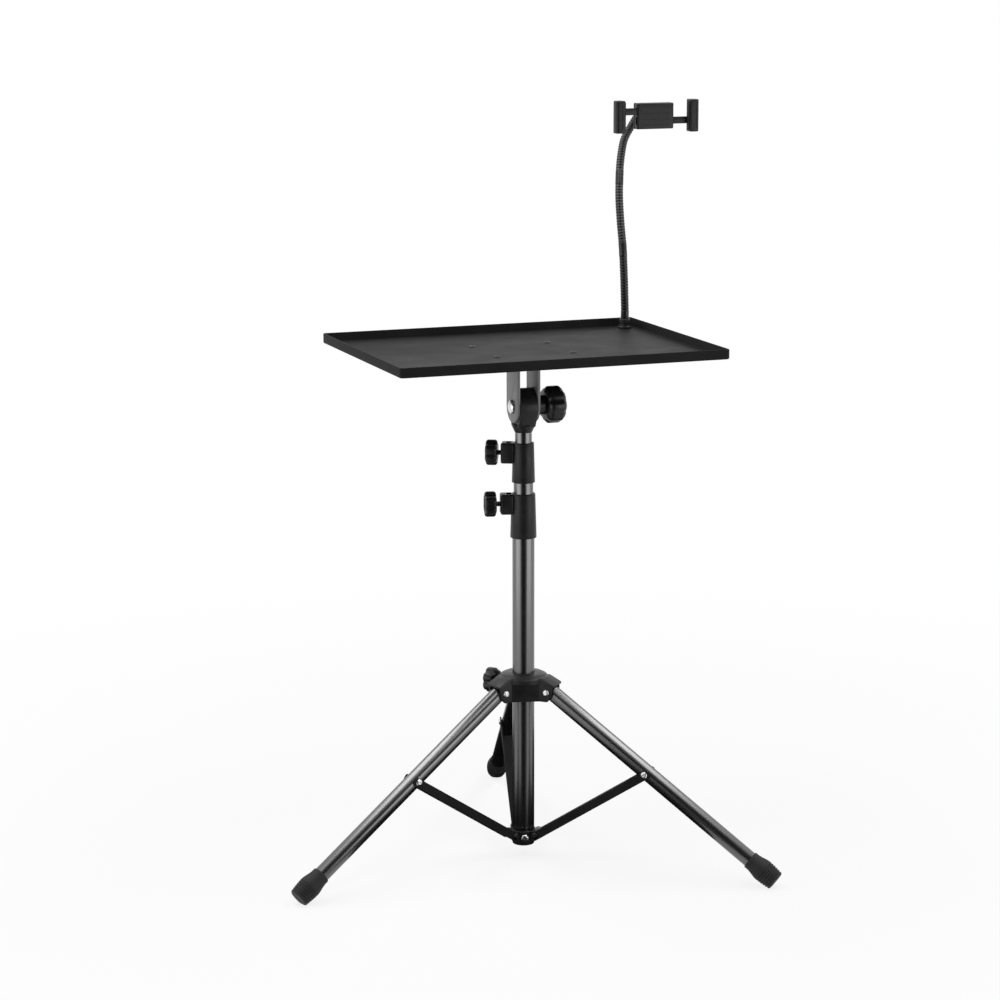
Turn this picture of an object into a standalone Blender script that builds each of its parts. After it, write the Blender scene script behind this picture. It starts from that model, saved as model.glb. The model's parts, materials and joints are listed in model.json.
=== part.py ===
"""Projector stand: a folding tripod with a telescopic column, a tilting tray and a phone holder.

Metres, +Z up. The origin is on the floor, on the axis of the column. The front faces -Y.
"""
import math

import bmesh
import bpy
from mathutils import Matrix, Vector

# Clearances
GAP = 0.0003
SLIDING_GAP = 0.0003

# Column tubes, each inside the one below it
TUBE_WALL = 0.001
LOWER_TUBE_DIAMETER = 0.025
LOWER_TUBE_BOTTOM = 0.0145
LOWER_TUBE_LENGTH = 0.3835
MIDDLE_TUBE_DIAMETER = 0.022
MIDDLE_TUBE_INSIDE_LOWER = 0.327
MIDDLE_TUBE_BOTTOM = LOWER_TUBE_BOTTOM + LOWER_TUBE_LENGTH - MIDDLE_TUBE_INSIDE_LOWER
MIDDLE_TUBE_LENGTH = 0.385
TOP_TUBE_DIAMETER = 0.019
TOP_TUBE_INSIDE_MIDDLE = 0.341
TOP_TUBE_BOTTOM = MIDDLE_TUBE_BOTTOM + MIDDLE_TUBE_LENGTH - TOP_TUBE_INSIDE_MIDDLE
TOP_TUBE_LENGTH = 0.390
BUSH_LENGTH = 0.012
BUSH_WALL = 0.0014

# Plug in the lower end of the column
PLUG_FLANGE_THICKNESS = 0.002
PLUG_SPIGOT_LENGTH = 0.004

# Bottom collar, which carries the struts
BOTTOM_COLLAR_BOTTOM = 0.015
BOTTOM_COLLAR_HEIGHT = 0.0145
BOTTOM_COLLAR_DIAMETER = 0.029
BOTTOM_COLLAR_EDGE = 0.0025
STRUT_LUG_RADIUS = 0.005
COLLAR_SCREW_HEIGHT = 0.0215
COLLAR_SCREW_HEAD_DIAMETER = 0.009
COLLAR_SCREW_HEAD_HEIGHT = 0.002
COLLAR_SCREW_DIAMETER = 0.0036
COLLAR_SCREW_DEPTH = 0.004

# Legs, spread as they stand; angles are measured from the vertical
LEG_DIRECTIONS = (75.6, 195.6, 315.6)
LEG_DIAMETER = 0.018
LEG_PIVOT_RADIUS = 0.033
LEG_PIVOT_HEIGHT = 0.197
LEG_LENGTH = 0.3323
FOOT_CENTRE_HEIGHT = 0.007542425
LEG_SPREAD_ANGLE = math.degrees(math.acos((LEG_PIVOT_HEIGHT - FOOT_CENTRE_HEIGHT) / LEG_LENGTH))
LEG_END_PAST_PIVOT = 0.005
PIVOT_RIVET_DIAMETER = 0.004
RIVET_HEAD_DIAMETER = 0.0075
RIVET_HEAD_HEIGHT = 0.0018

# Rubber feet
FOOT_LENGTH = 0.037
FOOT_END_DIAMETER = 0.0215
FOOT_BULGE_DIAMETER = 0.0256
FOOT_MOUTH_DIAMETER = 0.0206
FOOT_BULGE_HEIGHT = 0.015
FOOT_SOLID_END = 0.009
FOOT_RIBS = 5
FOOT_RIB_PITCH = 0.0032
FOOT_RIB_DEPTH = 0.0007

# Struts, U-channels whose open side faces down
STRUT_DISTANCE_ON_LEG = 0.1452
STRUT_PIVOT_RADIUS = 0.019
STRUT_PIVOT_HEIGHT = 0.026
STRUT_WALL = 0.0015
STRUT_DEPTH = 0.012
STRUT_WEB_FROM_PIVOT = 0.0045
STRUT_END_PAST_PIVOT = 0.0055
STRUT_WEB_CUTBACK_AT_LEG = 0.026
STRUT_WEB_CUTBACK_AT_COLLAR = 0.009

# Hub, which slides on the column and carries the legs
HUB_BOTTOM = 0.186
HUB_HEIGHT = 0.027
HUB_FLAT_RADIUS = 0.023
HUB_DOME_RADIUS = 0.028
HUB_DOME_TOP = 0.216
HUB_DOME_RIM_HEIGHT = 0.0045
CLEVIS_PLATE = 0.0027
CLEVIS_REACH = 0.040
ROOF_REACH = 0.042
ROOF_THICKNESS = 0.0025
CLEVIS_CHAMFER = 0.006
HUB_BOSS_REACH = 0.0285
HUB_BOSS_WIDTH = 0.018

# Clamp collars at the tops of the lower and middle tubes
UPPER_COLLAR_OVER_TUBE = 0.020
UPPER_COLLAR_ABOVE_TUBE = 0.0255
UPPER_COLLAR_TOP_DIAMETER = 0.0238
UPPER_COLLAR_BOTTOM_DIAMETER = 0.0262
UPPER_BOSS_HEIGHT = 0.0237
UPPER_BOSS_REACH = 0.0251
UPPER_SCREW_DIRECTION = 153.1
UPPER_SCREW_BELOW_TOP = 0.0122
LOWER_COLLAR_OVER_TUBE = 0.0254
LOWER_COLLAR_ABOVE_TUBE = 0.0254
LOWER_COLLAR_TOP_DIAMETER = 0.027
LOWER_COLLAR_BOTTOM_DIAMETER = 0.0298
LOWER_BOSS_HEIGHT = 0.0234
LOWER_BOSS_REACH = 0.0263
LOWER_SCREW_DIRECTION = 165.1
LOWER_SCREW_BELOW_TOP = 0.0119
BOSS_WIDTH = 0.017
BOSS_EDGE = 0.0015

# Clamping screws with their lobed knobs and captive nuts
SCREW_DIAMETER = 0.006
NUT_SIZE = 0.010
NUT_THICKNESS = 0.005
NUT_RADIUS_ON_COLUMN = 0.0165
HUB_NUT_RADIUS_ON_COLUMN = 0.020
KNOB_DIAMETER = 0.029
KNOB_THICKNESS = 0.0132
KNOB_LOBES = 6
KNOB_LOBE_DEPTH = 0.0026
KNOB_EDGE = 0.0014
KNOB_SCREW_DEPTH = 0.009
UPPER_KNOB_RADIUS_ON_COLUMN = 0.0292
LOWER_KNOB_RADIUS_ON_COLUMN = 0.031
HUB_SCREW_DIRECTION = 135.6
HUB_SCREW_HEIGHT = 0.202
HUB_KNOB_RADIUS_ON_COLUMN = 0.0325

# Tilt head, yoke and their bolt
TUBE_TOP = TOP_TUBE_BOTTOM + TOP_TUBE_LENGTH
TILT_ABOVE_TUBE = 0.0175
TILT_HEIGHT = TUBE_TOP + TILT_ABOVE_TUBE
TILT_HEAD_DIAMETER = 0.041
TILT_HEAD_WIDTH = 0.0204
TILT_HEAD_NECK_DIAMETER = 0.023
TILT_HEAD_OVER_TUBE = 0.0121
TILT_HEAD_BOTTOM = TUBE_TOP - TILT_HEAD_OVER_TUBE
TILT_HEAD_NECK_BELOW_TUBE_TOP = 0.005
TILT_HEAD_NECK_TOP = TUBE_TOP - TILT_HEAD_NECK_BELOW_TUBE_TOP
TILT_HEAD_CHAMFER = 0.0015
HEAD_PIN_DIAMETER = 0.003
HEAD_PIN_BELOW_TUBE_TOP = 0.006
HEAD_PIN_HEIGHT = TUBE_TOP - HEAD_PIN_BELOW_TUBE_TOP
YOKE_GAP = 0.021
YOKE_WALL = 0.003
YOKE_WIDTH = 0.036
YOKE_RISE = 0.047
YOKE_TOP = TILT_HEIGHT + YOKE_RISE
YOKE_RIVET_DIAMETER = 0.006
YOKE_RIVET_HEAD_DIAMETER = 0.012
YOKE_RIVET_HEAD_HEIGHT = 0.0018
TILT_BOLT_DIAMETER = 0.008
TILT_BOLT_HEAD_DIAMETER = 0.0155
TILT_BOLT_HEAD_HEIGHT = 0.004
TILT_BOLT_INTO_KNOB = 0.012
WASHER_DIAMETER = 0.018
WASHER_THICKNESS = 0.0015
TILT_KNOB_DIAMETER = 0.042
TILT_KNOB_THICKNESS = 0.022
TILT_KNOB_BOSS_DIAMETER = 0.022
TILT_KNOB_BOSS_LENGTH = 0.0085
TILT_KNOB_LOBES = 8
TILT_KNOB_LOBE_DEPTH = 0.0024
TILT_KNOB_EDGE = 0.003

# Tray and the channel under it
TRAY_WIDTH = 0.380
TRAY_DEPTH = 0.280
TRAY_CENTRE_Y = 0.003
TRAY_HEIGHT = 0.0112
TRAY_SHEET = 0.0015
TRAY_CORNER_RADIUS = 0.008
CHANNEL_WIDTH = 0.118
CHANNEL_DEPTH = 0.095
CHANNEL_HEIGHT = 0.0142
CHANNEL_SHEET = 0.002
CHANNEL_LIP = 0.014
TRAY_SCREW_SPACING_X = 0.090
TRAY_SCREW_DIAMETER = 0.004

# Gooseneck of the phone holder
NECK_FROM_TRAY_SIDE = 0.0168
NECK_FROM_TRAY_BACK = 0.022
NECK_X = TRAY_WIDTH / 2.0 - NECK_FROM_TRAY_SIDE
NECK_Y = TRAY_CENTRE_Y + TRAY_DEPTH / 2.0 - NECK_FROM_TRAY_BACK
NECK_DIAMETER = 0.0095
NECK_RIB_PITCH = 0.0034
NECK_RIB_DEPTH = 0.00045
NECK_BALL_DIAMETER = 0.0094
NECK_STUD_DIAMETER = 0.006
FERRULE_DIAMETER = 0.0126
FERRULE_FLANGE_DIAMETER = 0.0150
FERRULE_FLANGE_HEIGHT = 0.0024
FERRULE_HEIGHT = 0.0112
NECK_NUT_DIAMETER = 0.013
NECK_NUT_THICKNESS = 0.005
NECK_STUD_PAST_NUT = 0.002
# Points of its route, the first ones from the ferrule's seat and the last ones from its end
NECK_ROUTE_FROM_TRAY = (
    (0.0000, 0.0000, 0.02420),
    (-0.0004, 0.0020, 0.05920),
    (-0.0009, 0.0055, 0.09490),
    (-0.0008, 0.0125, 0.12270),
    (0.0008, 0.0210, 0.14970),
    (0.0044, 0.0295, 0.17070),
    (0.0088, 0.0380, 0.18920),
)
NECK_ROUTE_FROM_HOLDER = (
    (-0.0232, 0.0093, -0.0414),
    (-0.0172, 0.0162, -0.0293),
    (-0.0080, 0.0207, -0.0170),
    (-0.0022, 0.0177, -0.0060),
)
NECK_FIRST_BEND = 0.30
NECK_SECOND_BEND = 0.62

# Ball joint behind the phone holder; its axis runs along Y
HOLDER_BESIDE_NECK = 0.0378
HOLDER_ABOVE_TRAY = 0.2462
HOLDER_BEHIND_NECK = 0.0015
HOLDER_X = NECK_X + HOLDER_BESIDE_NECK
HOLDER_FRONT_Y = NECK_Y + HOLDER_BEHIND_NECK
HOLDER_HEIGHT = (YOKE_TOP + 2.0 * GAP + CHANNEL_HEIGHT + TRAY_SHEET) + HOLDER_ABOVE_TRAY
BALL_DIAMETER = 0.012
BALL_BEHIND_COVER = 0.0125
BALL_STEM_DIAMETER = 0.006
BALL_FLANGE_DIAMETER = 0.011
BALL_FLANGE_THICKNESS = 0.0015
SEAT_DIAMETER = 0.0158
SEAT_LENGTH = 0.0095
SEAT_PAST_CENTRE = 0.0015
SOCKET_WALL = 0.0013
SOCKET_LENGTH = 0.0125
SOCKET_END_DIAMETER = 0.013
RING_NUT_WALL = 0.0024
RING_NUT_LENGTH = 0.0095
RING_NUT_LIP = 0.0012
RING_NUT_FLUTES = 12
RING_NUT_FLUTE_DEPTH = 0.0006

# Phone holder
HOLDER_BODY_WIDTH = 0.046
HOLDER_BODY_HEIGHT = 0.030
HOLDER_BODY_DEPTH = 0.009
HOLDER_COVER_THICKNESS = 0.0027
HOLDER_EDGE = 0.0015
JAW_GAP = 0.0795
JAW_WIDTH = 0.0125
JAW_DEPTH = 0.013
JAW_HEIGHT = 0.0375
JAW_EDGE = 0.0022
JAW_PAST_BODY = 0.008
JAW_FRONT_Y = HOLDER_FRONT_Y - JAW_PAST_BODY
PAD_THICKNESS = 0.001
PAD_MARGIN = 0.002
ARM_THICKNESS = 0.0035
ARM_HEIGHT = 0.008
ARM_OFFSET = 0.0055
ARM_REACH_PAST_CENTRE = 0.007

# Colours (linear), roughness and metallic of the finishes
FINISHES = {
    "gloss_black": ((0.012, 0.012, 0.013), 0.18, 0.3),
    "satin_black": ((0.020, 0.020, 0.021), 0.42, 0.2),
    "black_plastic": ((0.022, 0.022, 0.023), 0.5, 0.0),
    "steel": ((0.62, 0.62, 0.60), 0.28, 1.0),
    "grey_steel": ((0.13, 0.13, 0.13), 0.45, 0.6),
    "rubber": ((0.030, 0.030, 0.031), 0.75, 0.0),
}

# Facets of round pieces
TUBE_STEPS = 24
SMALL_STEPS = 12
FOOT_STEPS = 16

# Shares that shape rounded profiles
COLLAR_EDGE_SHARE = 0.3
SCREW_HEAD_FLAT = 0.7
SCREW_HEAD_SIDE = 0.33
DOME_FLAT = 0.62
DOME_SHOULDER = 0.86
DOME_SHOULDER_DROP = 0.35
FOOT_SWELL = 0.6
STRUT_CORNER = 0.6
BOLT_HEAD_SIDE = (0.92, 0.4)
BOLT_HEAD_SHOULDER = (0.62, 0.8)
ROUTE_STEPS = 20
LEG_CLEARANCE = 0.0015
CLEVIS_CLEARANCE = 0.0012


# Scene, materials and collections

def clear_scene():
    """Remove the objects of the file."""
    for item in list(bpy.data.objects):
        bpy.data.objects.remove(item, do_unlink=True)


def make_collection(name):
    """Return a new collection in the scene."""
    collection = bpy.data.collections.new(name)
    bpy.context.scene.collection.children.link(collection)
    return collection


def make_material(name):
    """Return one sub-part's own material with the values of a finish."""
    colour, roughness, metallic = FINISHES[name]
    material = bpy.data.materials.new(name)
    material.use_nodes = True
    shader = material.node_tree.nodes["Principled BSDF"]
    shader.inputs["Base Color"].default_value = (*colour, 1.0)
    shader.inputs["Roughness"].default_value = roughness
    shader.inputs["Metallic"].default_value = metallic
    material.diffuse_color = (*colour, 1.0)
    return material


clear_scene()
STAND = make_collection("projector_stand")
CUTTERS = make_collection("cutters")


# Placing pieces

def guide(name, location, rotation=(0.0, 0.0, 0.0), parent=None):
    """Return an empty that holds pieces; the angles are in degrees."""
    empty = bpy.data.objects.new(name, None)
    CUTTERS.objects.link(empty)
    empty.empty_display_size = 0.01
    empty.hide_render = True
    place(empty, location, rotation, parent)
    return empty


def place(item, location=(0.0, 0.0, 0.0), rotation=(0.0, 0.0, 0.0), parent=None):
    """Place an object under its parent; the angles are in degrees."""
    item.parent = parent
    item.location = location
    item.rotation_euler = [math.radians(angle) for angle in rotation]
    return item


def finish(item, finish_name, parent=None, location=(0.0, 0.0, 0.0), rotation=(0.0, 0.0, 0.0)):
    """Give a piece its material and its place in the stand."""
    if item.name in CUTTERS.objects:
        CUTTERS.objects.unlink(item)
    STAND.objects.link(item)
    item.data.materials.clear()
    item.data.materials.append(make_material(finish_name))
    return place(item, location, rotation, parent)


def tool(item, parent=None, location=(0.0, 0.0, 0.0), rotation=(0.0, 0.0, 0.0)):
    """Mark an object as one that only shapes others."""
    item.hide_render = True
    item.display_type = "WIRE"
    return place(item, location, rotation, parent)


def boolean(item, other, operation):
    """Add an exact Boolean modifier."""
    modifier = item.modifiers.new(operation.lower() + "_" + other.name, "BOOLEAN")
    modifier.object = other
    modifier.operation = operation
    return item


def cut(item, *others):
    """Cut shapes out of a piece."""
    for other in others:
        boolean(item, other, "DIFFERENCE")
    return item


def join(item, *others):
    """Join shapes to a piece."""
    for other in others:
        boolean(item, other, "UNION")
    return item


def bevel(item, width, segments=1, angle=50.0):
    """Round the sharp edges of a piece."""
    modifier = item.modifiers.new("rounded_edges", "BEVEL")
    modifier.width = width
    modifier.segments = segments
    modifier.limit_method = "ANGLE"
    modifier.angle_limit = math.radians(angle)
    return item


# Basic shapes

def mesh_object(name, builder):
    """Return an object whose mesh comes from a bmesh, linked with the cutters at first."""
    mesh = bpy.data.meshes.new(name)
    builder.to_mesh(mesh)
    builder.free()
    item = bpy.data.objects.new(name, mesh)
    CUTTERS.objects.link(item)
    return item


def turned(name, profile, closed=False, steps=TUBE_STEPS):
    """Turn a profile of (radius, height) points about Z; it runs down the outer side."""
    builder = bmesh.new()
    points = [builder.verts.new((radius, 0.0, height)) for radius, height in profile]
    for first, second in zip(points, points[1:]):
        builder.edges.new((first, second))
    if closed:
        builder.edges.new((points[-1], points[0]))
    item = mesh_object(name, builder)
    screw = item.modifiers.new("turned", "SCREW")
    screw.angle = 2.0 * math.pi
    screw.steps = steps
    screw.render_steps = steps
    screw.axis = "Z"
    screw.use_merge_vertices = True
    screw.merge_threshold = 0.00001
    screw.use_smooth_shade = True
    return item


def ring(name, outer, inner, bottom, top, steps=TUBE_STEPS):
    """Return a plain tube about Z, by its radii and heights."""
    profile = [(outer, top), (outer, bottom), (inner, bottom), (inner, top)]
    return turned(name, profile, True, steps)


def rod(name, radius, bottom, top, steps=SMALL_STEPS):
    """Return a cylinder about Z."""
    builder = bmesh.new()
    matrix = Matrix.Translation((0.0, 0.0, (bottom + top) / 2.0))
    bmesh.ops.create_cone(builder, cap_ends=True, segments=steps, radius1=radius,
                          radius2=radius, depth=top - bottom, matrix=matrix)
    for face in builder.faces:
        face.smooth = len(face.verts) == 4
    return mesh_object(name, builder)


def ball(name, radius, centre=(0.0, 0.0, 0.0), steps=SMALL_STEPS):
    """Return a sphere."""
    builder = bmesh.new()
    bmesh.ops.create_uvsphere(builder, u_segments=steps, v_segments=steps // 2,
                              radius=radius, matrix=Matrix.Translation(centre))
    for face in builder.faces:
        face.smooth = True
    return mesh_object(name, builder)


def block(name, low, high):
    """Return a box by its lowest and highest corners."""
    size = [end - start for start, end in zip(low, high)]
    centre = [(start + end) / 2.0 for start, end in zip(low, high)]
    builder = bmesh.new()
    matrix = Matrix.Translation(centre) @ Matrix.Diagonal((*size, 1.0))
    bmesh.ops.create_cube(builder, size=1.0, matrix=matrix)
    return mesh_object(name, builder)


def mesh_from_curve(item):
    """Replace a curve object by a closed mesh object of the same name and place."""
    bpy.context.view_layer.update()
    evaluated = item.evaluated_get(bpy.context.evaluated_depsgraph_get())
    mesh = bpy.data.meshes.new_from_object(evaluated)
    builder = bmesh.new()
    builder.from_mesh(mesh)
    bmesh.ops.remove_doubles(builder, verts=builder.verts, dist=0.000001)
    builder.to_mesh(mesh)
    builder.free()
    name = item.name
    matrix = item.matrix_world.copy()
    bpy.data.objects.remove(item, do_unlink=True)
    solid = bpy.data.objects.new(name, mesh)
    mesh.name = name
    CUTTERS.objects.link(solid)
    solid.matrix_world = matrix
    return solid


def plate(name, outline, thickness):
    """Return a flat outline in XY with a thickness that is centred on Z."""
    curve = bpy.data.curves.new(name, "CURVE")
    curve.dimensions = "2D"
    curve.fill_mode = "BOTH"
    curve.extrude = thickness / 2.0
    spline = curve.splines.new("POLY")
    spline.points.add(len(outline) - 1)
    for point, (across, up) in zip(spline.points, outline):
        point.co = (across, up, 0.0, 1.0)
    spline.use_cyclic_u = True
    item = bpy.data.objects.new(name, curve)
    CUTTERS.objects.link(item)
    return mesh_from_curve(item)


def arc(centre, radius, start, end, steps):
    """Return points on an arc, its angles in degrees."""
    points = []
    for step in range(steps + 1):
        angle = math.radians(start + (end - start) * step / steps)
        points.append((centre[0] + radius * math.cos(angle), centre[1] + radius * math.sin(angle)))
    return points


def rounded_rectangle(width, depth, radius, steps=5):
    """Return the outline of a rectangle with round corners, centred on the origin."""
    across = width / 2.0 - radius
    along = depth / 2.0 - radius
    corners = ((across, along, 0.0), (-across, along, 90.0), (-across, -along, 180.0),
               (across, -along, 270.0))
    points = []
    for centre_x, centre_y, start in corners:
        points += arc((centre_x, centre_y), radius, start, start + 90.0, steps)
    return points


def lobed_outline(radius, lobes, depth, steps=6):
    """Return the outline of a grip with hollows between its lobes."""
    points = []
    for step in range(lobes * steps):
        turn = 2.0 * math.pi * step / (lobes * steps)
        hollow = depth * (0.5 - 0.5 * math.cos(lobes * turn)) ** 2
        points.append(((radius - hollow) * math.cos(turn), (radius - hollow) * math.sin(turn)))
    return points


def polar(direction, radius, height):
    """Return a point by its direction in degrees, its radius and its height."""
    angle = math.radians(direction)
    return Vector((radius * math.cos(angle), radius * math.sin(angle), height))


def turn_about_z(angle):
    """Return the rotation about Z by an angle in degrees."""
    return Matrix.Rotation(math.radians(angle), 4, "Z")


# Pieces that repeat

def rivet(name, grip):
    """Return a rivet with a head at each end, for a stack as thick as its grip."""
    shaft = PIVOT_RIVET_DIAMETER / 2.0
    head = RIVET_HEAD_DIAMETER / 2.0
    inner = grip / 2.0 + GAP
    outer = inner + RIVET_HEAD_HEIGHT
    edge = RIVET_HEAD_HEIGHT / 2.0
    profile = [(0.0, outer), (head - edge, outer), (head, outer - edge), (head, inner),
               (shaft, inner), (shaft, -inner), (head, -inner), (head, edge - outer),
               (head - edge, -outer), (0.0, -outer)]
    return turned(name, profile, steps=SMALL_STEPS)


def rivet_hole(name, length):
    """Return the cutter of a rivet's hole, centred on the origin."""
    return rod(name, PIVOT_RIVET_DIAMETER / 2.0 + GAP, -length / 2.0, length / 2.0)


def clamp_knob(prefix, axis, tube_radius, knob_radius):
    """Make a clamping screw and its knob; the guide's Z runs outwards from the column."""
    tip = tube_radius + GAP
    screw_end = knob_radius + KNOB_SCREW_DEPTH
    screw = rod(prefix + "_knob_screw", SCREW_DIAMETER / 2.0, tip, screw_end)
    finish(screw, "steel", axis)
    outline = lobed_outline(KNOB_DIAMETER / 2.0, KNOB_LOBES, KNOB_LOBE_DEPTH)
    knob = plate(prefix + "_knob", outline, KNOB_THICKNESS)
    bevel(knob, KNOB_EDGE, 1, 60.0)
    middle = knob_radius + KNOB_THICKNESS / 2.0
    finish(knob, "black_plastic", axis, (0.0, 0.0, middle))
    hole = rod(prefix + "_knob_hole", SCREW_DIAMETER / 2.0 + GAP, knob_radius - 2.0 * GAP,
               screw_end + GAP)
    cut(knob, tool(hole, axis))


def clamp_nut(prefix, axis, nut_radius):
    """Make the captive square nut of a clamping screw."""
    half = NUT_SIZE / 2.0
    back = nut_radius - NUT_THICKNESS / 2.0
    nut = block(prefix + "_nut", (-half, -half, back), (half, half, back + NUT_THICKNESS))
    finish(nut, "steel", axis)
    hole = rod(prefix + "_nut_hole", SCREW_DIAMETER / 2.0 + GAP, back - GAP,
               back + NUT_THICKNESS + GAP)
    cut(nut, tool(hole, axis))


def nut_pocket(name, axis, nut_radius, reach_up, reach_down):
    """Return the cutter of a nut's pocket, open towards one end of its boss."""
    half = NUT_SIZE / 2.0 + GAP
    back = nut_radius - NUT_THICKNESS / 2.0 - GAP
    pocket = block(name, (-reach_up, -half, back), (reach_down, half, back + NUT_THICKNESS + 2.0 * GAP))
    return tool(pocket, axis)


def screw_hole(name, axis, start, end):
    """Return the cutter of a clamping screw's hole."""
    return tool(rod(name, SCREW_DIAMETER / 2.0 + GAP, start, end), axis)


# Column

def build_tubes():
    """Make the three column tubes, their bushes and the plug; return the tubes."""
    lower = LOWER_TUBE_DIAMETER / 2.0
    middle = MIDDLE_TUBE_DIAMETER / 2.0
    top = TOP_TUBE_DIAMETER / 2.0
    lower_tube = ring("lower_tube", lower, lower - TUBE_WALL, LOWER_TUBE_BOTTOM,
                      LOWER_TUBE_BOTTOM + LOWER_TUBE_LENGTH)
    finish(lower_tube, "gloss_black")
    middle_tube = ring("middle_tube", middle, middle - TUBE_WALL, 0.0, MIDDLE_TUBE_LENGTH)
    finish(middle_tube, "gloss_black", None, (0.0, 0.0, MIDDLE_TUBE_BOTTOM))
    top_tube = ring("top_tube", top, top - TUBE_WALL, 0.0, TOP_TUBE_LENGTH)
    finish(top_tube, "gloss_black", None, (0.0, 0.0, TOP_TUBE_BOTTOM))
    middle_bush_radius = lower - TUBE_WALL - SLIDING_GAP
    middle_bush = ring("middle_bush", middle_bush_radius, middle_bush_radius - BUSH_WALL,
                       -BUSH_LENGTH - GAP, -GAP)
    finish(middle_bush, "black_plastic", None, (0.0, 0.0, MIDDLE_TUBE_BOTTOM))
    top_bush_radius = middle - TUBE_WALL - SLIDING_GAP
    top_bush = ring("top_bush", top_bush_radius, top_bush_radius - BUSH_WALL,
                    -BUSH_LENGTH - GAP, -GAP)
    finish(top_bush, "black_plastic", None, (0.0, 0.0, TOP_TUBE_BOTTOM))
    build_plug(lower)
    return lower_tube, top_tube


def build_plug(tube_radius):
    """Make the plug that closes the lower end of the column."""
    spigot = tube_radius - TUBE_WALL - GAP
    flange_top = LOWER_TUBE_BOTTOM - GAP
    profile = [(0.0, LOWER_TUBE_BOTTOM + PLUG_SPIGOT_LENGTH),
               (spigot, LOWER_TUBE_BOTTOM + PLUG_SPIGOT_LENGTH),
               (spigot, flange_top), (tube_radius, flange_top),
               (tube_radius, flange_top - PLUG_FLANGE_THICKNESS),
               (0.0, flange_top - PLUG_FLANGE_THICKNESS)]
    finish(turned("column_end_plug", profile), "black_plastic")


def build_bottom_collar(lower_tube):
    """Make the collar that carries the struts, its screw and the strut pivots."""
    inner = LOWER_TUBE_DIAMETER / 2.0 + GAP
    outer = BOTTOM_COLLAR_DIAMETER / 2.0
    top = BOTTOM_COLLAR_BOTTOM + BOTTOM_COLLAR_HEIGHT
    corner = BOTTOM_COLLAR_EDGE * COLLAR_EDGE_SHARE
    profile = [(outer, top), (outer, BOTTOM_COLLAR_BOTTOM + BOTTOM_COLLAR_EDGE),
               (outer - corner, BOTTOM_COLLAR_BOTTOM + corner),
               (inner + GAP, BOTTOM_COLLAR_BOTTOM), (inner, BOTTOM_COLLAR_BOTTOM), (inner, top)]
    collar = finish(turned("bottom_collar", profile, True), "black_plastic")
    grip = LEG_DIAMETER + 2.0 * GAP + 2.0 * STRUT_WALL
    for number, direction in enumerate(LEG_DIRECTIONS, 1):
        pivot = guide("strut_lug_%d" % number, polar(direction, STRUT_PIVOT_RADIUS, STRUT_PIVOT_HEIGHT),
                      (0.0, 0.0, direction))
        start = (inner + outer) / 2.0 - STRUT_PIVOT_RADIUS
        outline = arc((0.0, 0.0), STRUT_LUG_RADIUS, -90.0, 90.0, 8)
        outline += [(start, STRUT_LUG_RADIUS), (start, -STRUT_LUG_RADIUS)]
        width = LEG_DIAMETER
        lug = tool(plate("lug_%d" % number, outline, width), pivot, rotation=(90.0, 0.0, 0.0))
        hole = tool(rivet_hole("lug_hole_%d" % number, 2.0 * width), pivot,
                    rotation=(90.0, 0.0, 0.0))
        join(collar, lug)
        cut(collar, hole)
        finish(rivet("strut_pivot_rivet_%d" % number, grip), "steel", pivot,
               rotation=(90.0, 0.0, 0.0))
    front = LEG_DIRECTIONS[1] + 60.0
    axis = guide("collar_screw_axis", (0.0, 0.0, COLLAR_SCREW_HEIGHT), (0.0, 90.0, front))
    seat = outer + GAP
    shaft = COLLAR_SCREW_DIAMETER / 2.0
    head = COLLAR_SCREW_HEAD_DIAMETER / 2.0
    head_top = seat + COLLAR_SCREW_HEAD_HEIGHT
    tip = outer - COLLAR_SCREW_DEPTH
    side_top = seat + COLLAR_SCREW_HEAD_HEIGHT * SCREW_HEAD_SIDE
    screw_profile = [(0.0, head_top), (head * SCREW_HEAD_FLAT, head_top), (head, side_top), (head, seat),
                      (shaft, seat), (shaft, tip), (0.0, tip)]
    finish(turned("bottom_collar_screw", screw_profile, steps=SMALL_STEPS), "steel", axis)
    hole = tool(rod("collar_screw_hole", shaft + GAP, 0.0, head_top), axis)
    cut(collar, hole)
    cut(lower_tube, hole)


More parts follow.
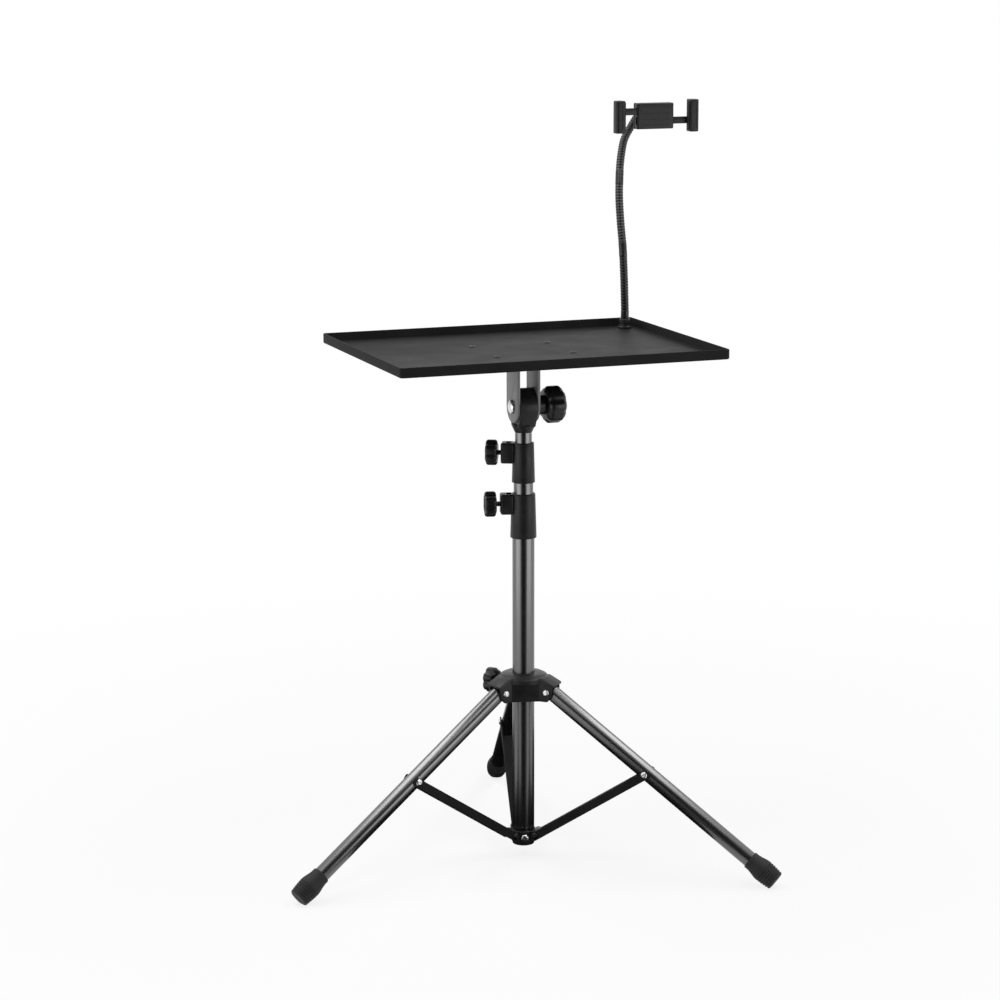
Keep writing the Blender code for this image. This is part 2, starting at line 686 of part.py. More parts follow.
def build_clamp_collar(prefix, bottom, top, radii, boss, axis_values, tubes):
    """Make a clamp collar, its nut, its screw and its knob.

    radii are the collar's top and bottom radius, boss its lower edge and reach, axis_values the
    screw's direction, height and knob radius, and tubes the outer radius and top of the tube that
    it sits on and the radius of the tube that it clamps.
    """
    top_radius, bottom_radius = radii
    boss_bottom, boss_reach = boss
    direction, height, knob_radius = axis_values
    seat_radius, seat_top, clamped_radius = tubes
    profile = [(top_radius, top), (bottom_radius, bottom), (seat_radius + GAP, bottom),
               (seat_radius + GAP, seat_top + GAP), (clamped_radius + SLIDING_GAP, seat_top + GAP),
               (clamped_radius + SLIDING_GAP, top)]
    collar = finish(turned(prefix + "_collar", profile, True), "black_plastic")
    axis = guide(prefix + "_clamp_axis", (0.0, 0.0, height), (0.0, 90.0, direction))
    half = BOSS_WIDTH / 2.0
    boss_block = block(prefix + "_boss", (height - top, -half, clamped_radius + SLIDING_GAP + GAP),
                       (height - boss_bottom, half, boss_reach))
    bevel(boss_block, BOSS_EDGE)
    bore = tool(rod(prefix + "_boss_bore", clamped_radius + SLIDING_GAP, bottom - GAP, top + GAP,
                    TUBE_STEPS))
    join(collar, tool(boss_block, axis))
    cut(collar, bore)
    cut(collar, nut_pocket(prefix + "_pocket", axis, NUT_RADIUS_ON_COLUMN, top - height + GAP,
                           NUT_SIZE / 2.0 + GAP))
    cut(collar, screw_hole(prefix + "_screw_hole", axis, 0.0, boss_reach + GAP))
    clamp_nut(prefix + "_collar", axis, NUT_RADIUS_ON_COLUMN)
    clamp_knob(prefix, axis, clamped_radius, knob_radius)


def build_clamp_collars():
    """Make the two clamp collars of the column."""
    lower = LOWER_TUBE_DIAMETER / 2.0
    middle = MIDDLE_TUBE_DIAMETER / 2.0
    top = TOP_TUBE_DIAMETER / 2.0
    lower_top = LOWER_TUBE_BOTTOM + LOWER_TUBE_LENGTH
    collar_top = lower_top + LOWER_COLLAR_ABOVE_TUBE
    build_clamp_collar(
        "lower", lower_top - LOWER_COLLAR_OVER_TUBE, collar_top,
        (LOWER_COLLAR_TOP_DIAMETER / 2.0, LOWER_COLLAR_BOTTOM_DIAMETER / 2.0),
        (collar_top - LOWER_BOSS_HEIGHT, LOWER_BOSS_REACH),
        (LOWER_SCREW_DIRECTION, collar_top - LOWER_SCREW_BELOW_TOP, LOWER_KNOB_RADIUS_ON_COLUMN),
        (lower, lower_top, middle))
    middle_top = MIDDLE_TUBE_BOTTOM + MIDDLE_TUBE_LENGTH
    collar_top = middle_top + UPPER_COLLAR_ABOVE_TUBE
    build_clamp_collar(
        "upper", middle_top - UPPER_COLLAR_OVER_TUBE, collar_top,
        (UPPER_COLLAR_TOP_DIAMETER / 2.0, UPPER_COLLAR_BOTTOM_DIAMETER / 2.0),
        (collar_top - UPPER_BOSS_HEIGHT, UPPER_BOSS_REACH),
        (UPPER_SCREW_DIRECTION, collar_top - UPPER_SCREW_BELOW_TOP, UPPER_KNOB_RADIUS_ON_COLUMN),
        (middle, middle_top, top))


# Hub, legs and struts

def hub_outline():
    """Return the hub's plan: three flats between the flanks of the three clevises."""
    half = LEG_DIAMETER / 2.0 + GAP + CLEVIS_PLATE
    corner = (HUB_FLAT_RADIUS - half * math.sin(math.radians(60.0))) / math.cos(math.radians(60.0))
    points = []
    for direction in LEG_DIRECTIONS:
        for side in (-half, half):
            point = turn_about_z(direction) @ Vector((corner, side, 0.0))
            points.append((point.x, point.y))
    return points


def clevis_outline(drop):
    """Return a clevis seen from the side, as radius and height from its pivot."""
    bottom = HUB_BOTTOM - LEG_PIVOT_HEIGHT
    top = HUB_BOTTOM + HUB_HEIGHT - LEG_PIVOT_HEIGHT
    reach = CLEVIS_REACH - LEG_PIVOT_RADIUS
    tip = ROOF_REACH - LEG_PIVOT_RADIUS
    inner = LOWER_TUBE_DIAMETER / 2.0 + CLEVIS_CLEARANCE - LEG_PIVOT_RADIUS
    tip_bottom = drop
    return [(inner, bottom), (reach - CLEVIS_CHAMFER, bottom), (reach, bottom + CLEVIS_CHAMFER),
            (reach, tip_bottom), (tip, tip_bottom), (tip, tip_bottom + ROOF_THICKNESS),
            (HUB_DOME_RADIUS - LEG_PIVOT_RADIUS, top), (inner, top)]


def slot_outline(clear_radius, drop):
    """Return the slot in which a leg turns, seen from the side of its pivot."""
    bottom = HUB_BOTTOM - LEG_PIVOT_HEIGHT - GAP
    tip = ROOF_REACH - LEG_PIVOT_RADIUS
    past = tip + ROOF_THICKNESS
    points = [(-clear_radius, bottom), (past, bottom), (past, drop), (tip, drop)]
    points += arc((0.0, 0.0), clear_radius, 80.0, 180.0, 8)
    return points


def build_hub():
    """Make the sliding hub, its leg rivets, nut, screw and knob."""
    half = LEG_DIAMETER / 2.0 + GAP
    outer_half = half + CLEVIS_PLATE
    top = HUB_BOTTOM + HUB_HEIGHT
    bore = LOWER_TUBE_DIAMETER / 2.0 + SLIDING_GAP
    clear_radius = math.hypot(LEG_DIAMETER / 2.0, LEG_END_PAST_PIVOT) + 2.0 * GAP
    leg_tilt = math.radians(LEG_SPREAD_ANGLE)
    tip = ROOF_REACH - LEG_PIVOT_RADIUS
    clear_line = LEG_DIAMETER / 2.0 + LEG_CLEARANCE
    drop = (clear_line - tip * math.cos(leg_tilt)) / math.sin(leg_tilt)
    hub = plate("hub", hub_outline(), HUB_HEIGHT)
    finish(hub, "black_plastic", None, (0.0, 0.0, HUB_BOTTOM + HUB_HEIGHT / 2.0))
    rim = HUB_DOME_TOP - HUB_DOME_RIM_HEIGHT
    rim_bottom = rim - HUB_DOME_RIM_HEIGHT
    dome_profile = [(0.0, HUB_DOME_TOP), (HUB_DOME_RADIUS * DOME_FLAT, HUB_DOME_TOP),
                    (HUB_DOME_RADIUS * DOME_SHOULDER, HUB_DOME_TOP - HUB_DOME_RIM_HEIGHT * DOME_SHOULDER_DROP),
                    (HUB_DOME_RADIUS, rim), (HUB_DOME_RADIUS, rim_bottom), (0.0, rim_bottom)]
    join(hub, tool(turned("hub_dome", dome_profile)))
    for number, direction in enumerate(LEG_DIRECTIONS, 1):
        pivot = guide("hub_pivot_%d" % number, polar(direction, LEG_PIVOT_RADIUS, LEG_PIVOT_HEIGHT),
                      (0.0, 0.0, direction))
        clevis = plate("clevis_%d" % number, clevis_outline(drop), 2.0 * outer_half)
        join(hub, tool(clevis, pivot, rotation=(90.0, 0.0, 0.0)))
    for number, direction in enumerate(LEG_DIRECTIONS, 1):
        pivot = bpy.data.objects["hub_pivot_%d" % number]
        slot = plate("leg_slot_%d" % number, slot_outline(clear_radius, drop), 2.0 * half)
        hole = rivet_hole("clevis_hole_%d" % number, 3.0 * outer_half)
        cut(hub, tool(slot, pivot, rotation=(90.0, 0.0, 0.0)))
        cut(hub, tool(hole, pivot, rotation=(90.0, 0.0, 0.0)))
        finish(rivet("leg_pivot_rivet_%d" % number, 2.0 * outer_half), "steel", pivot,
               rotation=(90.0, 0.0, 0.0))
    axis = guide("hub_clamp_axis", (0.0, 0.0, HUB_SCREW_HEIGHT), (0.0, 90.0, HUB_SCREW_DIRECTION))
    boss_half = HUB_BOSS_WIDTH / 2.0
    boss = block("hub_boss", (HUB_SCREW_HEIGHT - top + BOSS_EDGE, -boss_half, HUB_FLAT_RADIUS - BOSS_EDGE),
                 (boss_half, boss_half, HUB_BOSS_REACH))
    join(hub, tool(boss, axis))
    cut(hub, tool(rod("hub_bore", bore, HUB_BOTTOM - GAP, HUB_DOME_TOP + GAP, TUBE_STEPS)))
    cut(hub, nut_pocket("hub_pocket", axis, HUB_NUT_RADIUS_ON_COLUMN, NUT_SIZE / 2.0 + GAP,
                        HUB_SCREW_HEIGHT - HUB_BOTTOM + GAP))
    cut(hub, screw_hole("hub_screw_hole", axis, 0.0, HUB_BOSS_REACH + GAP))
    clamp_nut("hub", axis, HUB_NUT_RADIUS_ON_COLUMN)
    clamp_knob("hub", axis, LOWER_TUBE_DIAMETER / 2.0, HUB_KNOB_RADIUS_ON_COLUMN)


def foot_profile():
    """Return a foot's profile along its leg, from its mouth to its end and back up its bore."""
    mouth = FOOT_LENGTH
    bore = LEG_DIAMETER / 2.0 + GAP
    ribs_top = FOOT_RIBS * FOOT_RIB_PITCH
    mouth_radius = FOOT_MOUTH_DIAMETER / 2.0
    bulge_radius = FOOT_BULGE_DIAMETER / 2.0
    end_radius = FOOT_END_DIAMETER / 2.0
    points = [(mouth_radius, mouth), (mouth_radius, mouth - FOOT_RIB_PITCH),
              ((mouth_radius + bulge_radius) / 2.0, (mouth + ribs_top) / 2.0),
              (bulge_radius, ribs_top + FOOT_RIB_PITCH / 2.0)]
    for number in range(FOOT_RIBS):
        height = ribs_top - number * FOOT_RIB_PITCH
        share = height / FOOT_BULGE_HEIGHT
        radius = end_radius + (bulge_radius - end_radius) * min(1.0, share) ** FOOT_SWELL
        points.append((radius - FOOT_RIB_DEPTH, height))
        points.append((radius, height - FOOT_RIB_PITCH / 2.0))
    points += [(end_radius, 0.0), (0.0, 0.0)]
    return points, bore


def build_legs():
    """Make the three legs and their feet."""
    outer = LEG_DIAMETER / 2.0
    tube_end = -(LEG_LENGTH - FOOT_SOLID_END)
    side = 2.0 * LEG_LENGTH
    floor = tool(block("floor", (-side, -side, -side), (side, side, 0.0)))
    for number, direction in enumerate(LEG_DIRECTIONS, 1):
        pivot = guide("leg_pivot_%d" % number, polar(direction, LEG_PIVOT_RADIUS, LEG_PIVOT_HEIGHT),
                      (0.0, -LEG_SPREAD_ANGLE, direction))
        leg = ring("leg_%d" % number, outer, outer - TUBE_WALL, tube_end, LEG_END_PAST_PIVOT)
        finish(leg, "gloss_black", pivot)
        hole = rivet_hole("leg_hole_%d" % number, 2.0 * LEG_DIAMETER)
        cut(leg, tool(hole, pivot, rotation=(90.0, 0.0, 0.0)))
        profile, bore = foot_profile()
        foot = turned("foot_%d" % number, [(0.0, FOOT_LENGTH)] + profile, steps=FOOT_STEPS)
        finish(foot, "rubber", pivot, (0.0, 0.0, -LEG_LENGTH))
        socket = rod("foot_socket_%d" % number, bore, tube_end - GAP,
                     FOOT_LENGTH - LEG_LENGTH + GAP, TUBE_STEPS)
        cut(foot, tool(socket, pivot), floor)


def strut_length_and_angle():
    """Return a strut's length between its pivots and its angle from the vertical."""
    angle = math.radians(LEG_SPREAD_ANGLE)
    outer = LEG_PIVOT_RADIUS + STRUT_DISTANCE_ON_LEG * math.sin(angle) - STRUT_PIVOT_RADIUS
    rise = LEG_PIVOT_HEIGHT - STRUT_DISTANCE_ON_LEG * math.cos(angle) - STRUT_PIVOT_HEIGHT
    return math.hypot(outer, rise), math.degrees(math.atan2(outer, rise))


def strut_outline(length):
    """Return a strut seen from the side: across it from the web to the open edge, and along it."""
    radius = STRUT_END_PAST_PIVOT
    web = -STRUT_WEB_FROM_PIVOT
    edge = STRUT_DEPTH - STRUT_WEB_FROM_PIVOT
    corner = radius * STRUT_CORNER
    return [(web, corner - radius), (web + corner, -radius), (edge - corner, -radius),
            (edge, corner - radius), (edge, length + radius - corner),
            (edge - corner, length + radius), (web + corner, length + radius),
            (web, length + radius - corner)]


def strut_hollow_outline(length):
    """Return what is cut out between a strut's flanges, through its web near both ends."""
    past = 2.0 * STRUT_END_PAST_PIVOT
    inside = STRUT_WALL - STRUT_WEB_FROM_PIVOT
    through = -2.0 * STRUT_WEB_FROM_PIVOT
    edge = STRUT_DEPTH
    return [(through, -past), (edge, -past), (edge, length + past), (through, length + past),
            (through, length - STRUT_WEB_CUTBACK_AT_LEG), (inside, length - STRUT_WEB_CUTBACK_AT_LEG),
            (inside, STRUT_WEB_CUTBACK_AT_COLLAR), (through, STRUT_WEB_CUTBACK_AT_COLLAR)]


def build_struts():
    """Make the three struts; each straddles its leg, with a hole for the rivet there."""
    length, tilt = strut_length_and_angle()
    inner = LEG_DIAMETER + 2.0 * GAP
    outer = inner + 2.0 * STRUT_WALL
    for number, direction in enumerate(LEG_DIRECTIONS, 1):
        pivot = guide("strut_pivot_%d" % number, polar(direction, STRUT_PIVOT_RADIUS, STRUT_PIVOT_HEIGHT),
                      (0.0, tilt, direction))
        strut = plate("strut_%d" % number, strut_outline(length), outer)
        finish(strut, "satin_black", pivot, rotation=(90.0, 0.0, 0.0))
        hollow = plate("strut_hollow_%d" % number, strut_hollow_outline(length), inner)
        cut(strut, tool(hollow, pivot, rotation=(90.0, 0.0, 0.0)))
        for place_name, along in (("collar", 0.0), ("leg", length)):
            hole = rivet_hole("strut_hole_%s_%d" % (place_name, number), 2.0 * outer)
            cut(strut, tool(hole, pivot, (0.0, 0.0, along), (90.0, 0.0, 0.0)))


# Tilt head, yoke and tray

def build_tilt_head(top_tube):
    """Make the tilt head and the pin that holds it on the top tube."""
    radius = TILT_HEAD_DIAMETER / 2.0
    neck = TILT_HEAD_NECK_DIAMETER / 2.0
    neck_drop = TILT_HEAD_NECK_TOP - TILT_HEIGHT
    outline = arc((0.0, 0.0), radius, -25.0, 205.0, 24) + [(-neck, neck_drop), (neck, neck_drop)]
    head = plate("tilt_head", outline, TILT_HEAD_WIDTH)
    finish(head, "black_plastic", None, (0.0, 0.0, TILT_HEIGHT), (90.0, 0.0, 90.0))
    neck_profile = [(0.0, TILT_HEAD_NECK_TOP + TILT_HEAD_CHAMFER * 2.0),
                    (neck - TILT_HEAD_CHAMFER, TILT_HEAD_NECK_TOP + TILT_HEAD_CHAMFER * 2.0),
                    (neck, TILT_HEAD_NECK_TOP), (neck, TILT_HEAD_BOTTOM + TILT_HEAD_CHAMFER),
                    (neck - TILT_HEAD_CHAMFER, TILT_HEAD_BOTTOM), (0.0, TILT_HEAD_BOTTOM)]
    join(head, tool(turned("tilt_head_neck", neck_profile)))
    tube = TOP_TUBE_DIAMETER / 2.0
    cut(head, tool(rod("head_bore", tube + GAP, TILT_HEAD_BOTTOM - GAP, TUBE_TOP + GAP, TUBE_STEPS)))
    bolt_hole = rod("tilt_bolt_hole", TILT_BOLT_DIAMETER / 2.0 + GAP, -YOKE_WIDTH, YOKE_WIDTH,
                    SMALL_STEPS)
    tilt_axis = guide("tilt_axis", (0.0, 0.0, TILT_HEIGHT), (0.0, 90.0, 0.0))
    cut(head, tool(bolt_hole, tilt_axis))
    pin_axis = guide("head_pin_axis", (0.0, 0.0, HEAD_PIN_HEIGHT), (-90.0, 0.0, 0.0))
    pin_start = tube - 2.0 * TUBE_WALL
    pin = rod("head_pin", HEAD_PIN_DIAMETER / 2.0, pin_start, neck)
    finish(pin, "steel", pin_axis)
    pin_hole = tool(rod("head_pin_hole", HEAD_PIN_DIAMETER / 2.0 + GAP, 0.0, 2.0 * neck), pin_axis)
    cut(head, pin_hole)
    cut(top_tube, pin_hole)
    return tilt_axis, bolt_hole


def build_yoke(tilt_axis, bolt_hole):
    """Make the yoke, its bolt, washer and knob."""
    half_gap = YOKE_GAP / 2.0
    outer = half_gap + YOKE_WALL
    half = YOKE_WIDTH / 2.0
    rise = YOKE_TOP - TILT_HEIGHT
    outline = arc((0.0, 0.0), half, 180.0, 360.0, 16) + [(half, rise), (-half, rise)]
    yoke = plate("yoke", outline, 2.0 * outer)
    finish(yoke, "grey_steel", None, (0.0, 0.0, TILT_HEIGHT), (90.0, 0.0, 90.0))
    space = block("yoke_space", (-half_gap, -YOKE_WIDTH, TILT_HEIGHT - YOKE_WIDTH),
                  (half_gap, YOKE_WIDTH, YOKE_TOP - YOKE_WALL))
    cut(yoke, tool(space), bolt_hole)
    shaft = TILT_BOLT_DIAMETER / 2.0
    head = TILT_BOLT_HEAD_DIAMETER / 2.0
    seat = -outer - GAP
    head_end = seat - TILT_BOLT_HEAD_HEIGHT
    boss_start = outer + WASHER_THICKNESS + 2.0 * GAP
    knob_start = boss_start + TILT_KNOB_BOSS_LENGTH
    bolt_end = knob_start + TILT_BOLT_INTO_KNOB
    profile = [(0.0, bolt_end), (shaft, bolt_end), (shaft, seat), (head, seat),
               (head * BOLT_HEAD_SIDE[0], seat - TILT_BOLT_HEAD_HEIGHT * BOLT_HEAD_SIDE[1]),
               (head * BOLT_HEAD_SHOULDER[0], seat - TILT_BOLT_HEAD_HEIGHT * BOLT_HEAD_SHOULDER[1]),
               (0.0, head_end)]
    finish(turned("tilt_bolt", profile, steps=FOOT_STEPS), "steel", tilt_axis)
    washer = ring("tilt_washer", WASHER_DIAMETER / 2.0, shaft + GAP, outer + GAP,
                  outer + GAP + WASHER_THICKNESS, FOOT_STEPS)
    finish(washer, "steel", tilt_axis)
    grip = lobed_outline(TILT_KNOB_DIAMETER / 2.0, TILT_KNOB_LOBES, TILT_KNOB_LOBE_DEPTH)
    knob = plate("tilt_knob", grip, TILT_KNOB_THICKNESS)
    bevel(knob, TILT_KNOB_EDGE, 1, 60.0)
    middle = knob_start + TILT_KNOB_THICKNESS / 2.0
    finish(knob, "black_plastic", tilt_axis, (0.0, 0.0, middle))
    boss = rod("tilt_knob_boss", TILT_KNOB_BOSS_DIAMETER / 2.0, boss_start, middle, FOOT_STEPS)
    hole = rod("tilt_knob_hole", shaft + GAP, boss_start - GAP, bolt_end + GAP)
    join(knob, tool(boss, tilt_axis))
    cut(knob, tool(hole, tilt_axis))
    top = YOKE_TOP + GAP + CHANNEL_SHEET + GAP
    bottom = YOKE_TOP - YOKE_WALL - GAP
    rivet_shaft = YOKE_RIVET_DIAMETER / 2.0
    rivet_head = YOKE_RIVET_HEAD_DIAMETER / 2.0
    rivet_profile = [(0.0, top + YOKE_RIVET_HEAD_HEIGHT), (rivet_head, top + YOKE_RIVET_HEAD_HEIGHT),
                     (rivet_head, top), (rivet_shaft, top), (rivet_shaft, bottom),
                     (rivet_head, bottom), (rivet_head, bottom - YOKE_RIVET_HEAD_HEIGHT),
                     (0.0, bottom - YOKE_RIVET_HEAD_HEIGHT)]
    finish(turned("yoke_rivet", rivet_profile, steps=SMALL_STEPS), "steel")
    hole = tool(rod("yoke_rivet_hole", rivet_shaft + GAP, bottom - YOKE_WALL, top + YOKE_WALL))
    cut(yoke, hole)
    return hole


def build_tray(yoke_hole):
    """Make the channel and the tray; return the tray and its floor's heights."""
    channel_bottom = YOKE_TOP + GAP
    floor_bottom = channel_bottom + CHANNEL_HEIGHT + GAP
    floor_top = floor_bottom + TRAY_SHEET
    half = CHANNEL_DEPTH / 2.0
    sheet = CHANNEL_SHEET
    lip = half - CHANNEL_LIP
    height = CHANNEL_HEIGHT
    outline = [(-half, 0.0), (half, 0.0), (half, height), (lip, height), (lip, height - sheet),
               (half - sheet, height - sheet), (half - sheet, sheet), (sheet - half, sheet),
               (sheet - half, height - sheet), (-lip, height - sheet), (-lip, height),
               (-half, height)]
    channel = plate("mount_channel", outline, CHANNEL_WIDTH)
    finish(channel, "satin_black", None, (0.0, TRAY_CENTRE_Y, channel_bottom), (90.0, 0.0, 90.0))
    cut(channel, yoke_hole)
    pan_outline = rounded_rectangle(TRAY_WIDTH, TRAY_DEPTH, TRAY_CORNER_RADIUS)
    tray = plate("tray", pan_outline, TRAY_HEIGHT)
    finish(tray, "satin_black", None, (0.0, TRAY_CENTRE_Y, floor_bottom + TRAY_HEIGHT / 2.0))
    inner_outline = rounded_rectangle(TRAY_WIDTH - 2.0 * TRAY_SHEET, TRAY_DEPTH - 2.0 * TRAY_SHEET,
                                      TRAY_CORNER_RADIUS - TRAY_SHEET)
    recess = plate("tray_recess", inner_outline, TRAY_HEIGHT)
    cut(tray, tool(recess, None, (0.0, TRAY_CENTRE_Y, floor_top + TRAY_HEIGHT / 2.0)))
    across = TRAY_SCREW_SPACING_X / 2.0
    along = half - CHANNEL_LIP / 2.0
    spots = [(side_x * across, TRAY_CENTRE_Y + side_y * along, 0.0)
             for side_x in (-1.0, 1.0) for side_y in (-1.0, 1.0)]
    for number, spot in enumerate(spots, 1):
        hole = rod("tray_screw_hole_%d" % number, TRAY_SCREW_DIAMETER / 2.0 + GAP,
                   floor_bottom - 2.0 * CHANNEL_SHEET, floor_top + TRAY_SHEET)
        tool(hole, None, spot)
        cut(tray, hole)
        cut(channel, hole)
    return tray, floor_bottom, floor_top


# Gooseneck

def smooth_route(points, spacing):
    """Return points at an even spacing along a smooth curve through the route's points."""
    fine = []
    ends = [points[0] * 2.0 - points[1]] + points + [points[-1] * 2.0 - points[-2]]
    for before, start, end, after in zip(ends, ends[1:], ends[2:], ends[3:]):
        for step in range(ROUTE_STEPS):
            share = step / ROUTE_STEPS
            fine.append(0.5 * (2.0 * start + (end - before) * share
                               + (2.0 * before - 5.0 * start + 4.0 * end - after) * share ** 2
                               + (3.0 * start - before - 3.0 * end + after) * share ** 3))
    fine.append(points[-1])
    length = sum((second - first).length for first, second in zip(fine, fine[1:]))
    count = round(length / spacing)
    step_length = length / count
    result = [fine[0]]
    travelled = 0.0
    for first, second in zip(fine, fine[1:]):
        piece = (second - first).length
        while len(result) < count and travelled + piece >= step_length * len(result):
            share = (step_length * len(result) - travelled) / piece
            result.append(first.lerp(second, share))
        travelled += piece
    result.append(fine[-1])
    return result


def ribbed_tube(name, centres):
    """Return a ribbed tube whose ends run straight and smooth for one diameter."""
    radius = NECK_DIAMETER / 2.0
    first = (centres[1] - centres[0]).normalized() * NECK_DIAMETER
    last = (centres[-2] - centres[-1]).normalized() * NECK_DIAMETER
    start = [(centres[0], 1.0), (centres[0] + first, 1.0)]
    end = [(centres[-1] + last, 1.0), (centres[-1], 1.0)]
    inner = [centre for centre in centres if (centre - centres[0]).length > NECK_DIAMETER * 1.1
             and (centre - centres[-1]).length > NECK_DIAMETER * 1.1]
    hollow = 1.0 - NECK_RIB_DEPTH / radius
    ribs = [(centre, hollow if number % 2 == 0 else 1.0) for number, centre in enumerate(inner)]
    stations = start + ribs + end
    curve = bpy.data.curves.new(name, "CURVE")
    curve.dimensions = "3D"
    curve.bevel_depth = radius
    curve.bevel_resolution = 2
    curve.use_fill_caps = True
    spline = curve.splines.new("POLY")
    spline.points.add(len(stations) - 1)
    for point, (centre, scale) in zip(spline.points, stations):
        point.co = (*centre, 1.0)
        point.radius = scale
    item = bpy.data.objects.new(name, curve)
    CUTTERS.objects.link(item)
    solid = mesh_from_curve(item)
    solid.data.shade_smooth()
    return solid


def build_neck(tray, floor_bottom, floor_top):
    """Make the ferrule, its nut and the three lengths of gooseneck."""
    stud = NECK_STUD_DIAMETER / 2.0
    seat = floor_top + GAP
    ferrule_top = seat + FERRULE_HEIGHT
    nut_top = floor_bottom - GAP
    stud_end = nut_top - NECK_NUT_THICKNESS - NECK_STUD_PAST_NUT
    flange = FERRULE_FLANGE_DIAMETER / 2.0
    body = FERRULE_DIAMETER / 2.0
    profile = [(0.0, ferrule_top), (body - 2.0 * GAP, ferrule_top), (body, ferrule_top - 2.0 * GAP),
               (body, seat + FERRULE_FLANGE_HEIGHT), (flange, seat + FERRULE_FLANGE_HEIGHT),
               (flange, seat), (stud, seat), (stud, stud_end), (0.0, stud_end)]
    ferrule = turned("base_ferrule", profile, steps=FOOT_STEPS)
    finish(ferrule, "black_plastic", None, (NECK_X, NECK_Y, 0.0))
    cut(tray, tool(rod("neck_stud_hole", stud + GAP, floor_bottom - GAP, floor_top + GAP), None,
                   (NECK_X, NECK_Y, 0.0)))
    nut_outline = arc((0.0, 0.0), NECK_NUT_DIAMETER / 2.0, 0.0, 300.0, 5)
    nut = plate("neck_nut", nut_outline, NECK_NUT_THICKNESS)
    hole = rod("neck_nut_hole", stud + GAP, stud_end - NECK_NUT_THICKNESS, nut_top + GAP)
    cut(nut, tool(hole, None, (NECK_X, NECK_Y, 0.0)))
    finish(nut, "steel", None, (NECK_X, NECK_Y, nut_top - NECK_NUT_THICKNESS / 2.0))
    ball_y = ball_centre_y()
    neck_end_y = ball_y + SOCKET_LENGTH - SEAT_PAST_CENTRE + GAP
    start = Vector((NECK_X, NECK_Y, ferrule_top + GAP))
    end = Vector((HOLDER_X, neck_end_y, HOLDER_HEIGHT))
    before_end = end + Vector((0.0, NECK_DIAMETER, 0.0))
    seat_centre = Vector((NECK_X, NECK_Y, floor_top))
    route = [start] + [seat_centre + Vector(point) for point in NECK_ROUTE_FROM_TRAY]
    route += [end + Vector(point) for point in NECK_ROUTE_FROM_HOLDER] + [before_end, end]
    centres = smooth_route(route, NECK_RIB_PITCH / 2.0)
    first_bend = round(NECK_FIRST_BEND * len(centres))
    second_bend = round(NECK_SECOND_BEND * len(centres))
    lengths = (("neck_lower", centres[:first_bend + 1]), ("neck_middle", centres[first_bend:second_bend + 1]),
               ("neck_upper", centres[second_bend:]))
    solids = [ribbed_tube(name, part) for name, part in lengths]
    bend_radius = NECK_BALL_DIAMETER / 2.0
    for number, index in enumerate((first_bend, second_bend)):
        centre = centres[index]
        joint_ball = tool(ball("neck_ball_%d" % (number + 1), bend_radius, centre))
        cup = tool(ball("neck_cup_%d" % (number + 1), bend_radius + GAP, centre, FOOT_STEPS))
        join(solids[number], joint_ball)
        cut(solids[number + 1], cup)
    for solid in solids:
        finish(solid, "black_plastic")


def ball_centre_y():
    """Return the place along Y of the holder's ball."""
    return HOLDER_FRONT_Y + HOLDER_BODY_DEPTH + GAP + HOLDER_COVER_THICKNESS + BALL_BEHIND_COVER


# Phone holder

